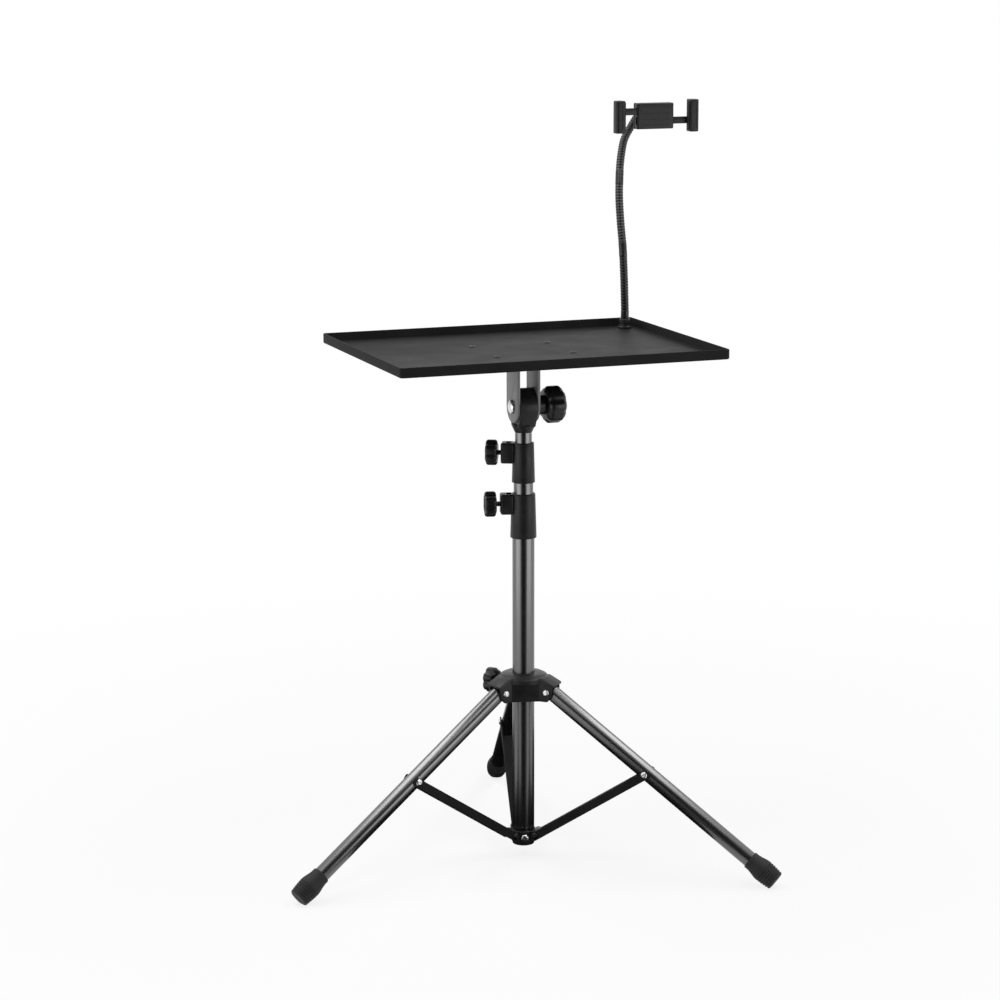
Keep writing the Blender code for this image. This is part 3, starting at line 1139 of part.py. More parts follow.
def build_ball_joint():
    """Make the socket at the neck's end, its seat, its ring nut and the ball with its stem."""
    axis = guide("holder_ball_axis", (HOLDER_X, ball_centre_y(), HOLDER_HEIGHT),
                 (-90.0, 0.0, 0.0))
    radius = BALL_DIAMETER / 2.0
    seat_radius = SEAT_DIAMETER / 2.0
    seat_end = SEAT_LENGTH - SEAT_PAST_CENTRE
    seat = rod("ball_seat", seat_radius, -SEAT_PAST_CENTRE, seat_end, FOOT_STEPS)
    finish(seat, "black_plastic", axis)
    cut(seat, tool(ball("seat_hollow", radius + GAP, steps=FOOT_STEPS), axis))
    bore = seat_radius + GAP
    socket_radius = bore + SOCKET_WALL
    socket_start = -SEAT_PAST_CENTRE
    socket_end = SOCKET_LENGTH - SEAT_PAST_CENTRE
    bore_end = seat_end + GAP
    profile = [(0.0, socket_end), (SOCKET_END_DIAMETER / 2.0, socket_end), (socket_radius, bore_end),
               (socket_radius, socket_start), (bore, socket_start), (bore, bore_end), (0.0, bore_end)]
    finish(turned("ball_socket", profile, steps=FOOT_STEPS), "black_plastic", axis)
    nut_inner = socket_radius + GAP
    nut_outer = nut_inner + RING_NUT_WALL
    lip_start = socket_start - GAP - RING_NUT_LIP
    outline = lobed_outline(nut_outer, RING_NUT_FLUTES, RING_NUT_FLUTE_DEPTH, 4)
    nut = plate("ring_nut", outline, RING_NUT_LENGTH)
    finish(nut, "black_plastic", axis, (0.0, 0.0, lip_start + RING_NUT_LENGTH / 2.0))
    nut_bore = rod("ring_nut_bore", nut_inner, socket_start - GAP, lip_start + RING_NUT_LENGTH + GAP,
                   FOOT_STEPS)
    mouth = rod("ring_nut_mouth", seat_radius, lip_start - GAP, socket_start, FOOT_STEPS)
    cut(nut, tool(nut_bore, axis), tool(mouth, axis))
    flange = BALL_FLANGE_DIAMETER / 2.0
    stem = BALL_STEM_DIAMETER / 2.0
    cover_back = -BALL_BEHIND_COVER
    flange_front = cover_back + GAP
    flange_back = flange_front + BALL_FLANGE_THICKNESS
    stud_end = cover_back - HOLDER_COVER_THICKNESS + GAP
    neck_start = -math.sqrt(radius ** 2 - stem ** 2)
    around = [(radius * math.cos(math.radians(angle)), radius * math.sin(math.radians(angle)))
              for angle in range(75, -60, -15)]
    profile = [(0.0, radius)] + around + [(stem, neck_start), (stem, flange_back),
                                          (flange, flange_back), (flange, flange_front),
                                          (stem, flange_front), (stem, stud_end), (0.0, stud_end)]
    finish(turned("holder_ball", profile, steps=SMALL_STEPS), "steel", axis)
    hole = tool(rod("stem_hole", stem + GAP, cover_back - 2.0 * HOLDER_COVER_THICKNESS, 0.0), axis)
    return hole


def build_holder(stem_hole):
    """Make the holder's body, cover, jaws and pads."""
    front = HOLDER_FRONT_Y
    back = front + HOLDER_BODY_DEPTH
    half_width = HOLDER_BODY_WIDTH / 2.0
    half_height = HOLDER_BODY_HEIGHT / 2.0
    centre = guide("holder_centre", (HOLDER_X, 0.0, HOLDER_HEIGHT))
    body = block("holder_body", (-half_width, front, -half_height), (half_width, back, half_height))
    bevel(finish(body, "black_plastic", centre), HOLDER_EDGE)
    cover_front = back + GAP
    cover = block("holder_cover", (-half_width, cover_front, -half_height),
                  (half_width, cover_front + HOLDER_COVER_THICKNESS, half_height))
    cut(bevel(finish(cover, "black_plastic", centre), HOLDER_EDGE / 2.0), stem_hole)
    arm_back = JAW_FRONT_Y + JAW_DEPTH
    arm_front = arm_back - ARM_THICKNESS
    pad_face = JAW_GAP / 2.0
    jaw_face = pad_face + PAD_THICKNESS + GAP
    jaw_outer = pad_face + JAW_WIDTH
    half_jaw = JAW_HEIGHT / 2.0
    half_arm = ARM_HEIGHT / 2.0
    for name, side, offset in (("left", -1.0, ARM_OFFSET), ("right", 1.0, -ARM_OFFSET)):
        low, high = sorted((side * jaw_face, side * jaw_outer))
        jaw = block(name + "_jaw", (low, JAW_FRONT_Y, -half_jaw), (high, arm_back, half_jaw))
        bevel(finish(jaw, "black_plastic", centre), JAW_EDGE)
        low, high = sorted((side * (jaw_face + JAW_EDGE), -side * ARM_REACH_PAST_CENTRE))
        arm = block(name + "_arm", (low, arm_front, offset - half_arm),
                    (high, arm_back - GAP, offset + half_arm))
        join(jaw, tool(arm, centre))
        slot = block(name + "_arm_slot", (-HOLDER_BODY_WIDTH, arm_front - GAP, offset - half_arm - GAP),
                     (HOLDER_BODY_WIDTH, arm_back, offset + half_arm + GAP))
        cut(body, tool(slot, centre))
        low, high = sorted((side * pad_face, side * (pad_face + PAD_THICKNESS)))
        pad = block(name + "_pad", (low, JAW_FRONT_Y + PAD_MARGIN, PAD_MARGIN - half_jaw),
                    (high, arm_front - PAD_MARGIN / 2.0, half_jaw - PAD_MARGIN))
        finish(pad, "rubber", centre)


def main():
    """Build the stand from the floor up."""
    lower_tube, top_tube = build_tubes()
    build_bottom_collar(lower_tube)
    build_clamp_collars()
    build_hub()
    build_legs()
    build_struts()
    tilt_axis, bolt_hole = build_tilt_head(top_tube)
    yoke_hole = build_yoke(tilt_axis, bolt_hole)
    tray, floor_bottom, floor_top = build_tray(yoke_hole)
    build_neck(tray, floor_bottom, floor_top)
    build_holder(build_ball_joint())


main()
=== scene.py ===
"""Looks of the projector stand: folding tripod, telescopic column, tilting tray and phone holder.

Metres, +Z up, the front faces -Y. Each class builds one sub-assembly around the fixed CAD parts.
"""
import json
import logging
import math
from dataclasses import dataclass
from enum import Enum
from typing import Iterable, Sequence

import bmesh
import bpy
from mathutils import Matrix, Vector


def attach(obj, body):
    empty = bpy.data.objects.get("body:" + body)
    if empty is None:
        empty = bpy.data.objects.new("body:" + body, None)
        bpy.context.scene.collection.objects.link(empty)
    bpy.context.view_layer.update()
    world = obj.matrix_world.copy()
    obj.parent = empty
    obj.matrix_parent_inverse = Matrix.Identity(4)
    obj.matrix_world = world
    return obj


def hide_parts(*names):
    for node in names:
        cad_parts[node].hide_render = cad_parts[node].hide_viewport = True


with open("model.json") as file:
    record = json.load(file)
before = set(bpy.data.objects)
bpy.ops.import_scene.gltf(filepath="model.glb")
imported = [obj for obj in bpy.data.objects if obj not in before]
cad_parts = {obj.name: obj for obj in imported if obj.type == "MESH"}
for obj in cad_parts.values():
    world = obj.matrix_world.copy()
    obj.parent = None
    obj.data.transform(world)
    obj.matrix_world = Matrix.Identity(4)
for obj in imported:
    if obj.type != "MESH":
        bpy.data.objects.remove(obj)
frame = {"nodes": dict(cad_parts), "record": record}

LOG = logging.getLogger("projector_stand")
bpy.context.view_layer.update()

Pair = tuple[float, float]
Triple = tuple[float, float, float]
Profile = tuple[Pair, ...]
Verts = list[bmesh.types.BMVert]
Edges = list[bmesh.types.BMEdge]

GAP = 0.0003  # clearance between pieces that fit, as in the CAD model
PAST = 0.001  # how far a cutter reaches past the face that it opens
FINE_STEPS = 72  # facets round the large turned pieces
SMALL_STEPS = 40  # facets round the screws and rivets
BORE_STEPS = 24  # facets round the small holes
EDGE = 0.0004  # the small rounding of most rims
LOWER_TUBE = 0.025  # outer diameters of the column's tubes
MIDDLE_TUBE = 0.022
TOP_TUBE = 0.019
TILT_HEIGHT = 0.5225  # the tilt bolt above the floor
TILT_BOLT = 0.008  # its diameter
YOKE_TOP = 0.5695
STUD_PLACE = (0.1732, 0.121)  # where the neck stands on the tray
LEG_DIRECTIONS = (75.6, 195.6, 315.6)  # degrees round the column
FRONT = 255.6  # the direction of the collar screw, between two legs
SCREW_BORE = 0.0033  # radius of the holes for the clamping screws
RIVET_BORE = 0.0023  # radius of the holes for the pivots
RIVET_SHAFT = 0.002
RIVET_HEAD = 0.00375
RIVET_HEIGHT = 0.0018


# Finishes

class Grain(Enum):
    """How the fine pattern of a surface is drawn out, as a stretch along X, Y and Z."""

    EVEN = (1.0, 1.0, 1.0)
    DRAWN_ALONG_Z = (1.0, 1.0, 0.04)
    DRAWN_ALONG_X = (0.04, 1.0, 1.0)


def link(tree: bpy.types.NodeTree, source: bpy.types.NodeSocket, target: bpy.types.NodeSocket) -> None:
    """Join two sockets."""
    tree.links.new(source, target)


def add_node(tree: bpy.types.NodeTree, kind: str, **settings: str | float) -> bpy.types.Node:
    """Add a shader node and set it up.

    Args:
        tree: The tree that takes the node.
        kind: The node's type, without its ShaderNode prefix.
        settings: Constants of its inputs by their names, with _ for a space, or its operation.

    Returns:
        The new node.
    """
    node = tree.nodes.new("ShaderNode" + kind)
    for name, value in settings.items():
        if name == "operation":
            node.operation = value
        else:
            node.inputs[name.replace("_", " ")].default_value = value
    return node


def grain_group() -> bpy.types.ShaderNodeTree:
    """Build the shared group that varies a surface's colour, roughness and height.

    Returns:
        The node group, with a fine pattern and a broad one on a given vector.
    """
    group = bpy.data.node_groups.new("surface_grain", "ShaderNodeTree")
    inputs = {"Vector": "Vector", "Stretch": "Vector", "Fine Scale": "Float", "Broad Scale": "Float",
              "Colour": "Color", "Tint": "Color", "Roughness": "Float", "Roughness Change": "Float",
              "Relief": "Float"}
    outputs = {"Colour": "Color", "Roughness": "Float", "Height": "Float"}
    for way, sockets in (("INPUT", inputs), ("OUTPUT", outputs)):
        for name, kind in sockets.items():
            group.interface.new_socket(name, in_out=way, socket_type="NodeSocket" + kind)
    given = group.nodes.new("NodeGroupInput").outputs
    result = group.nodes.new("NodeGroupOutput").inputs
    drawn = add_node(group, "VectorMath", operation="MULTIPLY")
    fine = add_node(group, "TexNoise", Detail=2.0)
    broad = add_node(group, "TexNoise", Detail=3.0)
    both = add_node(group, "Math", operation="MULTIPLY_ADD")
    both.inputs[1].default_value = 0.35
    spread = add_node(group, "MapRange", From_Min=0.45, From_Max=0.9)
    colours = add_node(group, "Mix")
    colours.data_type = "RGBA"
    change = add_node(group, "Math", operation="MULTIPLY_ADD")
    height = add_node(group, "Math", operation="MULTIPLY")
    joins = ((given["Vector"], drawn.inputs[0]), (given["Stretch"], drawn.inputs[1]),
             (drawn.outputs[0], fine.inputs["Vector"]), (given["Fine Scale"], fine.inputs["Scale"]),
             (drawn.outputs[0], broad.inputs["Vector"]), (given["Broad Scale"], broad.inputs["Scale"]),
             (fine.outputs["Fac"], both.inputs[0]), (broad.outputs["Fac"], both.inputs[2]),
             (both.outputs[0], spread.inputs["Value"]), (spread.outputs["Result"], colours.inputs["Factor"]),
             (given["Colour"], colours.inputs["A"]), (given["Tint"], colours.inputs["B"]),
             (colours.outputs["Result"], result["Colour"]), (spread.outputs["Result"], change.inputs[0]),
             (given["Roughness Change"], change.inputs[1]), (given["Roughness"], change.inputs[2]),
             (change.outputs[0], result["Roughness"]), (fine.outputs["Fac"], height.inputs[0]),
             (given["Relief"], height.inputs[1]), (height.outputs[0], result["Height"]))
    for source, target in joins:
        link(group, source, target)
    return group


@dataclass(frozen=True)
class Finish:
    """One surface finish of the stand, with its slot in the record."""

    name: str
    slot: str
    colour: Triple
    tint: Triple
    roughness: float
    roughness_change: float = 0.10
    metallic: float = 0.0
    gloss: float = 0.5
    ior: float = 1.5
    grain: Grain = Grain.EVEN
    grain_size: float = 0.0006
    patch_size: float = 0.02
    relief: float = 0.000005

    def material(self) -> bpy.types.Material:
        """Return this finish's material, made once.

        Returns:
            The material with the shared grain group on Object coordinates.
        """
        ready = bpy.data.materials.get(self.name)
        if ready is not None:
            return ready
        material = bpy.data.materials.new(self.name)
        material.use_nodes = True
        tree = material.node_tree
        shader = tree.nodes["Principled BSDF"]
        shader.inputs["Metallic"].default_value = self.metallic
        shader.inputs["Specular IOR Level"].default_value = self.gloss
        shader.inputs["IOR"].default_value = self.ior
        place = add_node(tree, "TexCoord")
        grain = add_node(tree, "Group")
        grain.node_tree = bpy.data.node_groups.get("surface_grain") or grain_group()
        link(tree, place.outputs["Object"], grain.inputs["Vector"])
        values = {"Stretch": self.grain.value, "Fine Scale": 1.0 / self.grain_size,
                  "Broad Scale": 1.0 / self.patch_size, "Colour": (*self.colour, 1.0),
                  "Tint": (*self.tint, 1.0), "Roughness": self.roughness,
                  "Roughness Change": self.roughness_change, "Relief": self.relief}
        for name, value in values.items():
            grain.inputs[name].default_value = value
        link(tree, grain.outputs["Colour"], shader.inputs["Base Color"])
        link(tree, grain.outputs["Roughness"], shader.inputs["Roughness"])
        if self.relief:
            bump = add_node(tree, "Bump", Strength=1.0, Distance=1.0)
            link(tree, grain.outputs["Height"], bump.inputs["Height"])
            link(tree, bump.outputs["Normal"], shader.inputs["Normal"])
        return material


GLOSS_PAINT = Finish("gloss_black_paint", "gloss_black", (0.0045, 0.0045, 0.005), (0.007, 0.007, 0.0075),
                     roughness=0.275, roughness_change=0.0, gloss=1.0, ior=1.68, grain_size=0.004,
                     patch_size=0.03, relief=0.0)
SATIN_PAINT = Finish("satin_black_powder_coat", "satin_black", (0.010, 0.010, 0.0105), (0.016, 0.016, 0.0165),
                     roughness=0.52, gloss=0.06, grain_size=0.0008, patch_size=0.035, relief=0.000006)
PLASTIC = Finish("moulded_black_plastic", "black_plastic", (0.009, 0.009, 0.0095), (0.016, 0.016, 0.0165),
                 roughness=0.35, gloss=0.24, patch_size=0.012)
GRIP_PLASTIC = Finish("polished_black_grip", "black_plastic", (0.007, 0.007, 0.0075), (0.012, 0.012, 0.0125),
                      roughness=0.28, gloss=0.30, grain_size=0.0008, patch_size=0.010, relief=0.000004)
NECK_PLASTIC = Finish("neck_sleeve_plastic", "black_plastic", (0.006, 0.006, 0.0065), (0.012, 0.012, 0.0125),
                      roughness=0.30, roughness_change=0.08, gloss=0.40, patch_size=0.010, relief=0.000002)
NICKEL = Finish("bright_nickel", "steel", (0.78, 0.78, 0.76), (0.62, 0.62, 0.60), roughness=0.28,
                metallic=1.0, grain_size=0.0004, patch_size=0.004, relief=0.000002)
ZINC = Finish("zinc_plated_steel", "steel", (0.46, 0.46, 0.45), (0.34, 0.34, 0.33), roughness=0.34,
              roughness_change=0.12, metallic=1.0, grain=Grain.DRAWN_ALONG_X, grain_size=0.0004,
              patch_size=0.004, relief=0.000002)
DARK_STEEL = Finish("blackened_steel", "steel", (0.030, 0.030, 0.030), (0.050, 0.050, 0.049), roughness=0.38,
                    metallic=1.0, grain_size=0.0004, patch_size=0.004, relief=0.000002)
GREY_PAINT = Finish("grey_steel_paint", "grey_steel", (0.13, 0.13, 0.13), (0.17, 0.17, 0.168), roughness=0.40,
                    roughness_change=0.12, gloss=0.6, grain=Grain.DRAWN_ALONG_Z, grain_size=0.0008,
                    patch_size=0.012)
RUBBER = Finish("charcoal_rubber", "rubber", (0.012, 0.012, 0.0125), (0.022, 0.022, 0.022), roughness=0.55,
                roughness_change=0.14, gloss=0.22, grain_size=0.0007, patch_size=0.008, relief=0.000012)
FINISHES_BY_SLOT = {"gloss_black": GLOSS_PAINT, "satin_black": SATIN_PAINT, "black_plastic": PLASTIC,
                    "steel": NICKEL, "grey_steel": GREY_PAINT, "rubber": RUBBER}


# Placing

def polar(direction: float, radius: float, height: float) -> Vector:
    """Return a point by its direction in degrees, its radius and its height."""
    angle = math.radians(direction)
    return Vector((radius * math.cos(angle), radius * math.sin(angle), height))


def turned_by(angle: float, axis: str) -> Matrix:
    """Return a rotation by an angle in degrees about a main axis."""
    return Matrix.Rotation(math.radians(angle), 4, axis)


def at(point: Iterable[float]) -> Matrix:
    """Return a move to a point."""
    return Matrix.Translation(Vector(tuple(point)))


def radial_axis(direction: float, height: float) -> Matrix:
    """Return the place whose Z runs outwards from the column in a direction, and whose X runs down."""
    return at((0.0, 0.0, height)) @ turned_by(direction, "Z") @ turned_by(90.0, "Y")


def facing_sideways(point: Triple) -> Matrix:
    """Return the place at a point whose X runs along Y, whose Y runs up and whose Z runs along X."""
    return at(point) @ turned_by(90.0, "Z") @ turned_by(90.0, "X")


def side_view(pivot: Vector, direction: float) -> Matrix:
    """Return the place whose X runs outwards, whose Y runs up and whose Z runs across a leg."""
    return at(pivot) @ turned_by(direction, "Z") @ turned_by(90.0, "X")


def arc(centre: Pair, radius: float, start: float, end: float, steps: int) -> list[Pair]:
    """Return points on an arc.

    Args:
        centre: The arc's centre.
        radius: Its radius.
        start: The first angle in degrees.
        end: The last angle in degrees.
        steps: The number of steps between them.

    Returns:
        The points, with both ends.
    """
    angles = [math.radians(start + (end - start) * step / steps) for step in range(steps + 1)]
    return [(centre[0] + radius * math.cos(angle), centre[1] + radius * math.sin(angle)) for angle in angles]


def rounded_rectangle(width: float, depth: float, radius: float, steps: int = 10) -> list[Pair]:
    """Return the outline of a rectangle with round corners, centred on the origin.

    Args:
        width: Its size along X.
        depth: Its size along Y.
        radius: The radius of its corners.
        steps: The number of steps in each corner.

    Returns:
        The points, from the right side on, anticlockwise.
    """
    across = width / 2.0 - radius
    along = depth / 2.0 - radius
    corners = ((across, along, 0.0), (-across, along, 90.0), (-across, -along, 180.0),
               (across, -along, 270.0))
    return [point for x, y, start in corners for point in arc((x, y), radius, start, start + 90.0, steps)]


def lobed_outline(radius: float, lobes: int, depth: float, steps: int = 16) -> list[Pair]:
    """Return the outline of a grip with hollows between its lobes.

    Args:
        radius: The radius over the lobes.
        lobes: How many there are.
        depth: How deep the hollows are.
        steps: The number of steps for each lobe.

    Returns:
        The points, anticlockwise.
    """
    points = []
    for step in range(lobes * steps):
        turn = 2.0 * math.pi * step / (lobes * steps)
        hollow = depth * (0.5 - 0.5 * math.cos(lobes * turn)) ** 2
        points.append(((radius - hollow) * math.cos(turn), (radius - hollow) * math.sin(turn)))
    return points


def flipped(profile: Sequence[Pair]) -> list[Pair]:
    """Return a half profile followed by its mirror image below, for a piece that is alike at both ends."""
    return list(profile) + [(radius, -height) for radius, height in reversed(profile)]


# Solids

def closed_loop(builder: bmesh.types.BMesh, points: Sequence[Triple]) -> tuple[Verts, Edges]:
    """Draw a closed loop of edges.

    Args:
        builder: The bmesh that takes it.
        points: Its points in order.

    Returns:
        Its vertices and its edges.
    """
    verts = [builder.verts.new(point) for point in points]
    return verts, [builder.edges.new((verts[index - 1], verts[index])) for index in range(len(verts))]


def grown_loop(builder: bmesh.types.BMesh, edges: Edges) -> tuple[Verts, Edges]:
    """Extrude a loop of edges in place, ready to be moved.

    Args:
        builder: The bmesh that holds it.
        edges: The loop's edges.

    Returns:
        The new loop's vertices and edges.
    """
    grown = bmesh.ops.extrude_edge_only(builder, edges=edges)["geom"]
    return ([item for item in grown if isinstance(item, bmesh.types.BMVert)],
            [item for item in grown if isinstance(item, bmesh.types.BMEdge)])


class Solid:
    """A closed shape in the making, held as a bmesh; each step changes it and returns it."""

    def __init__(self, builder: bmesh.types.BMesh) -> None:
        """Hold a bmesh."""
        self.builder = builder

    @classmethod
    def turned(cls, profile: Sequence[Pair], steps: int = FINE_STEPS, hollow: bool = False) -> "Solid":
        """Turn a profile about Z.

        Args:
            profile: Points as radius and height.
            steps: The number of facets round it.
            hollow: Whether the profile is a closed loop that stays clear of the axis.

        Returns:
            The turned solid, with its faces outwards.
        """
        builder = bmesh.new()
        points = [builder.verts.new((radius, 0.0, height)) for radius, height in profile]
        pairs = list(zip(points, points[1:]))
        if hollow:
            pairs.append((points[-1], points[0]))
        edges = [builder.edges.new(pair) for pair in pairs]
        bmesh.ops.spin(builder, geom=points + edges, cent=(0.0, 0.0, 0.0), axis=(0.0, 0.0, 1.0),
                       dvec=(0.0, 0.0, 0.0), angle=2.0 * math.pi, steps=steps, use_merge=True)
        bmesh.ops.remove_doubles(builder, verts=builder.verts, dist=1e-7)
        bmesh.ops.recalc_face_normals(builder, faces=builder.faces)
        return cls(builder)

    @classmethod
    def prism(cls, outline: Sequence[Pair], thickness: float) -> "Solid":
        """Give a flat outline in XY a thickness, centred on Z.

        Args:
            outline: The points of the outline.
            thickness: The thickness along Z.

        Returns:
            The solid, with its faces outwards.
        """
        builder = bmesh.new()
        face = builder.faces.new([builder.verts.new((x, y, -thickness / 2.0)) for x, y in outline])
        grown = bmesh.ops.extrude_face_region(builder, geom=[face], use_keep_orig=True)
        raised = [item for item in grown["geom"] if isinstance(item, bmesh.types.BMVert)]
        bmesh.ops.translate(builder, verts=raised, vec=(0.0, 0.0, thickness))
        bmesh.ops.recalc_face_normals(builder, faces=builder.faces)
        return cls(builder)

    @classmethod
    def block(cls, low: Sequence[float], high: Sequence[float]) -> "Solid":
        """Make a box.

        Args:
            low: Its lowest corner.
            high: Its highest corner.

        Returns:
            The box.
        """
        size = [end - start for start, end in zip(low, high)]
        centre = [(start + end) / 2.0 for start, end in zip(low, high)]
        builder = bmesh.new()
        bmesh.ops.create_cube(builder, size=1.0, matrix=at(centre) @ Matrix.Diagonal((*size, 1.0)))
        return cls(builder)

    @classmethod
    def rod(cls, radius: float, bottom: float, top: float, steps: int = SMALL_STEPS) -> "Solid":
        """Return a straight rod about Z."""
        return cls.turned([(0.0, top), (radius, top), (radius, bottom), (0.0, bottom)], steps)

    @classmethod
    def ring(cls, outer: float, inner: float, bottom: float, top: float, lip: float = 0.0,
             steps: int = FINE_STEPS) -> "Solid":
        """Make a tube about Z, whose outer rims may be rounded.

        Args:
            outer: Its outer radius.
            inner: Its inner radius.
            bottom: The height of its lower end.
            top: The height of its upper end.
            lip: The radius of its outer rims.
            steps: The number of facets round it.

        Returns:
            The tube.
        """
        round_top = arc((outer - lip, top - lip), lip, 90.0, 0.0, 4) if lip else [(outer, top)]
        round_bottom = arc((outer - lip, bottom + lip), lip, 0.0, -90.0, 4) if lip else [(outer, bottom)]
        return cls.turned(round_top + round_bottom + [(inner, bottom), (inner, top)], steps, True)

    @classmethod
    def ball(cls, radius: float, centre: Sequence[float] = (0.0, 0.0, 0.0), steps: int = 32) -> "Solid":
        """Make a ball.

        Args:
            radius: Its radius.
            centre: Its centre.
            steps: The number of facets round it.

        Returns:
            The ball.
        """
        builder = bmesh.new()
        bmesh.ops.create_uvsphere(builder, u_segments=steps, v_segments=steps // 2, radius=radius,
                                  matrix=at(centre))
        return cls(builder)

    @classmethod
    def stacked(cls, outline: Sequence[Pair], sections: Sequence[Pair]) -> "Solid":
        """Stack scaled copies of an outline into a closed grip.

        Args:
            outline: The plan in XY.
            sections: The scale and height of each section, from one end to the other; both end
                sections are closed by a fan to their centre.

        Returns:
            The grip, with its faces outwards.
        """
        builder = bmesh.new()
        scale, height = sections[0]
        _, edges = closed_loop(builder, [(x * scale, y * scale, height) for x, y in outline])
        first = list(edges)
        for (before, _), (scale, height) in zip(sections, sections[1:]):
            raised, edges = grown_loop(builder, edges)
            for vert in raised:
                vert.co.z = height
            bmesh.ops.scale(builder, verts=raised, vec=(scale / before, scale / before, 1.0))
        for loop in (first, edges):
            closed = bmesh.ops.contextual_create(builder, geom=loop)["faces"]
            bmesh.ops.poke(builder, faces=closed)
        bmesh.ops.recalc_face_normals(builder, faces=builder.faces)
        return cls(builder)

    def placed(self, *matrices: Matrix) -> "Solid":
        """Move the solid.

        Args:
            matrices: The moves, of which the last one comes first.

        Returns:
            The same solid.
        """
        whole = Matrix.Identity(4)
        for matrix in matrices:
            whole = whole @ matrix
        bmesh.ops.transform(self.builder, matrix=whole, verts=self.builder.verts)
        return self

    def rounded(self, width: float, segments: int = 3, angle: float = 40.0) -> "Solid":
        """Round the edges that are sharper than an angle.

        Args:
            width: The width of the rounding.
            segments: The number of facets across it.
            angle: The angle in degrees.

        Returns:
            The same solid.
        """
        limit = math.radians(angle)
        sharp = [edge for edge in self.builder.edges
                 if len(edge.link_faces) == 2 and edge.calc_face_angle(0.0) > limit]
        return self.bevelled(sharp, width, segments)

    def bevelled(self, edges: Edges, width: float, segments: int) -> "Solid":
        """Round chosen edges.

        Args:
            edges: The edges of this solid.
            width: The width of the rounding.
            segments: The number of facets across it.

        Returns:
            The same solid.
        """
        bmesh.ops.bevel(self.builder, geom=edges, offset=width, offset_type="OFFSET", affect="EDGES",
                        segments=segments, profile=0.5, material=-1, clamp_overlap=True)
        return self

    def combined(self, operation: str, others: Sequence["Solid"]) -> "Solid":
        """Join or cut other solids exactly, then clean the flat faces.

        Args:
            operation: UNION or DIFFERENCE.
            others: The solids to join or to cut away.

        Returns:
            The same solid, changed; the others are used up.
        """
        target = self.as_object("carved")
        tools = [other.as_object("carver") for other in others]
        for tool in tools:
            modifier = target.modifiers.new("carve", "BOOLEAN")
            modifier.operation = operation
            modifier.object = tool
        bpy.context.view_layer.update()
        mesh = bpy.data.meshes.new_from_object(target.evaluated_get(bpy.context.evaluated_depsgraph_get()))
        self.builder = bmesh.new()
        self.builder.from_mesh(mesh)
        bpy.data.meshes.remove(mesh)
        for item in [target] + tools:
            spare = item.data
            bpy.data.objects.remove(item, do_unlink=True)
            bpy.data.meshes.remove(spare)
        bmesh.ops.remove_doubles(self.builder, verts=self.builder.verts, dist=1e-6)
        bmesh.ops.dissolve_limit(self.builder, angle_limit=math.radians(0.5), verts=self.builder.verts,
                                 edges=self.builder.edges)
        return self

    def cut(self, *others: "Solid") -> "Solid":
        """Cut solids away."""
        return self.combined("DIFFERENCE", others)

    def joined(self, *others: "Solid") -> "Solid":
        """Join solids to this one."""
        return self.combined("UNION", others)

    def as_object(self, name: str) -> bpy.types.Object:
        """Turn the bmesh into an object of the scene.

        Args:
            name: The name of the object and its mesh.

        Returns:
            The object; the bmesh is used up.
        """
        mesh = bpy.data.meshes.new(name)
        self.builder.to_mesh(mesh)
        self.builder.free()
        item = bpy.data.objects.new(name, mesh)
        bpy.context.scene.collection.objects.link(item)
        return item

    def piece(self, name: str, finish: Finish, body: str, replaces: Sequence[str] = (),
              smooth: float = 32.0) -> bpy.types.Object:
        """Finish the solid as a visible piece of the stand.

        Args:
            name: The piece's name.
            finish: Its surface.
            body: The moving body that it rides on.
            replaces: The CAD nodes that it stands for.
            smooth: The angle in degrees up to which its faces blend into each other.

        Returns:
            The finished object, at the origin.
        """
        item = self.as_object(name)
        item.data.shade_smooth()
        item.data.set_sharp_from_angle(angle=math.radians(smooth))
        item.data.materials.append(finish.material())
        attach(item, body)
        if replaces:
            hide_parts(*replaces)
        LOG.info("%s: %d faces", name, len(item.data.polygons))
        return item


def rivet_profile(grip: float) -> list[Pair]:
    """Return the profile of a pivot rivet with a domed head and a dimple at both ends.

    Args:
        grip: The thickness of the stack that it holds.

    Returns:
        The profile as radius and height, centred on the stack.
    """
    inner = grip / 2.0 + GAP
    outer = inner + RIVET_HEIGHT
    dome = ((0.0, 0.35), (0.22, 0.30), (0.34, 0.02), (0.45, 0.0), (0.70, 0.10), (0.90, 0.36), (1.0, 0.72))
    half = [(RIVET_HEAD * out, outer - RIVET_HEIGHT * down) for out, down in dome]
    return flipped(half + [(RIVET_HEAD, inner), (RIVET_SHAFT, inner)])


def pivot_rivets(name: str, node: str, finish: Finish, body: str, grip: float, spot: Pair) -> None:
    """Set three pivot rivets, one for each leg.

    Args:
        name: The start of the pieces' names.
        node: The start of their CAD nodes' names.
        finish: Their surface.
        body: The body that they ride on.
        grip: The thickness of the stack that they hold.
        spot: Their distance from the column's axis and their height.
    """
    for number, direction in enumerate(LEG_DIRECTIONS, 1):
        rivet = Solid.turned(rivet_profile(grip), SMALL_STEPS)
        rivet.placed(side_view(polar(direction, *spot), direction))
        rivet.piece("%s_%d" % (name, number), finish, body, ["%s_%d" % (node, number)])


def crossed_slots(length: float, width: float, bottom: float, top: float) -> list[Solid]:
    """Return the cutters of a cross slot, which may be turned afterwards.

    Args:
        length: The length of each slot.
        width: Its width.
        bottom: The height of its floor.
        top: The height that the cutters reach.

    Returns:
        The two cutters.
    """
    half, side = length / 2.0, width / 2.0
    return [Solid.block((-half, -side, bottom), (half, side, top)),
            Solid.block((-side, -half, bottom), (side, half, top))]


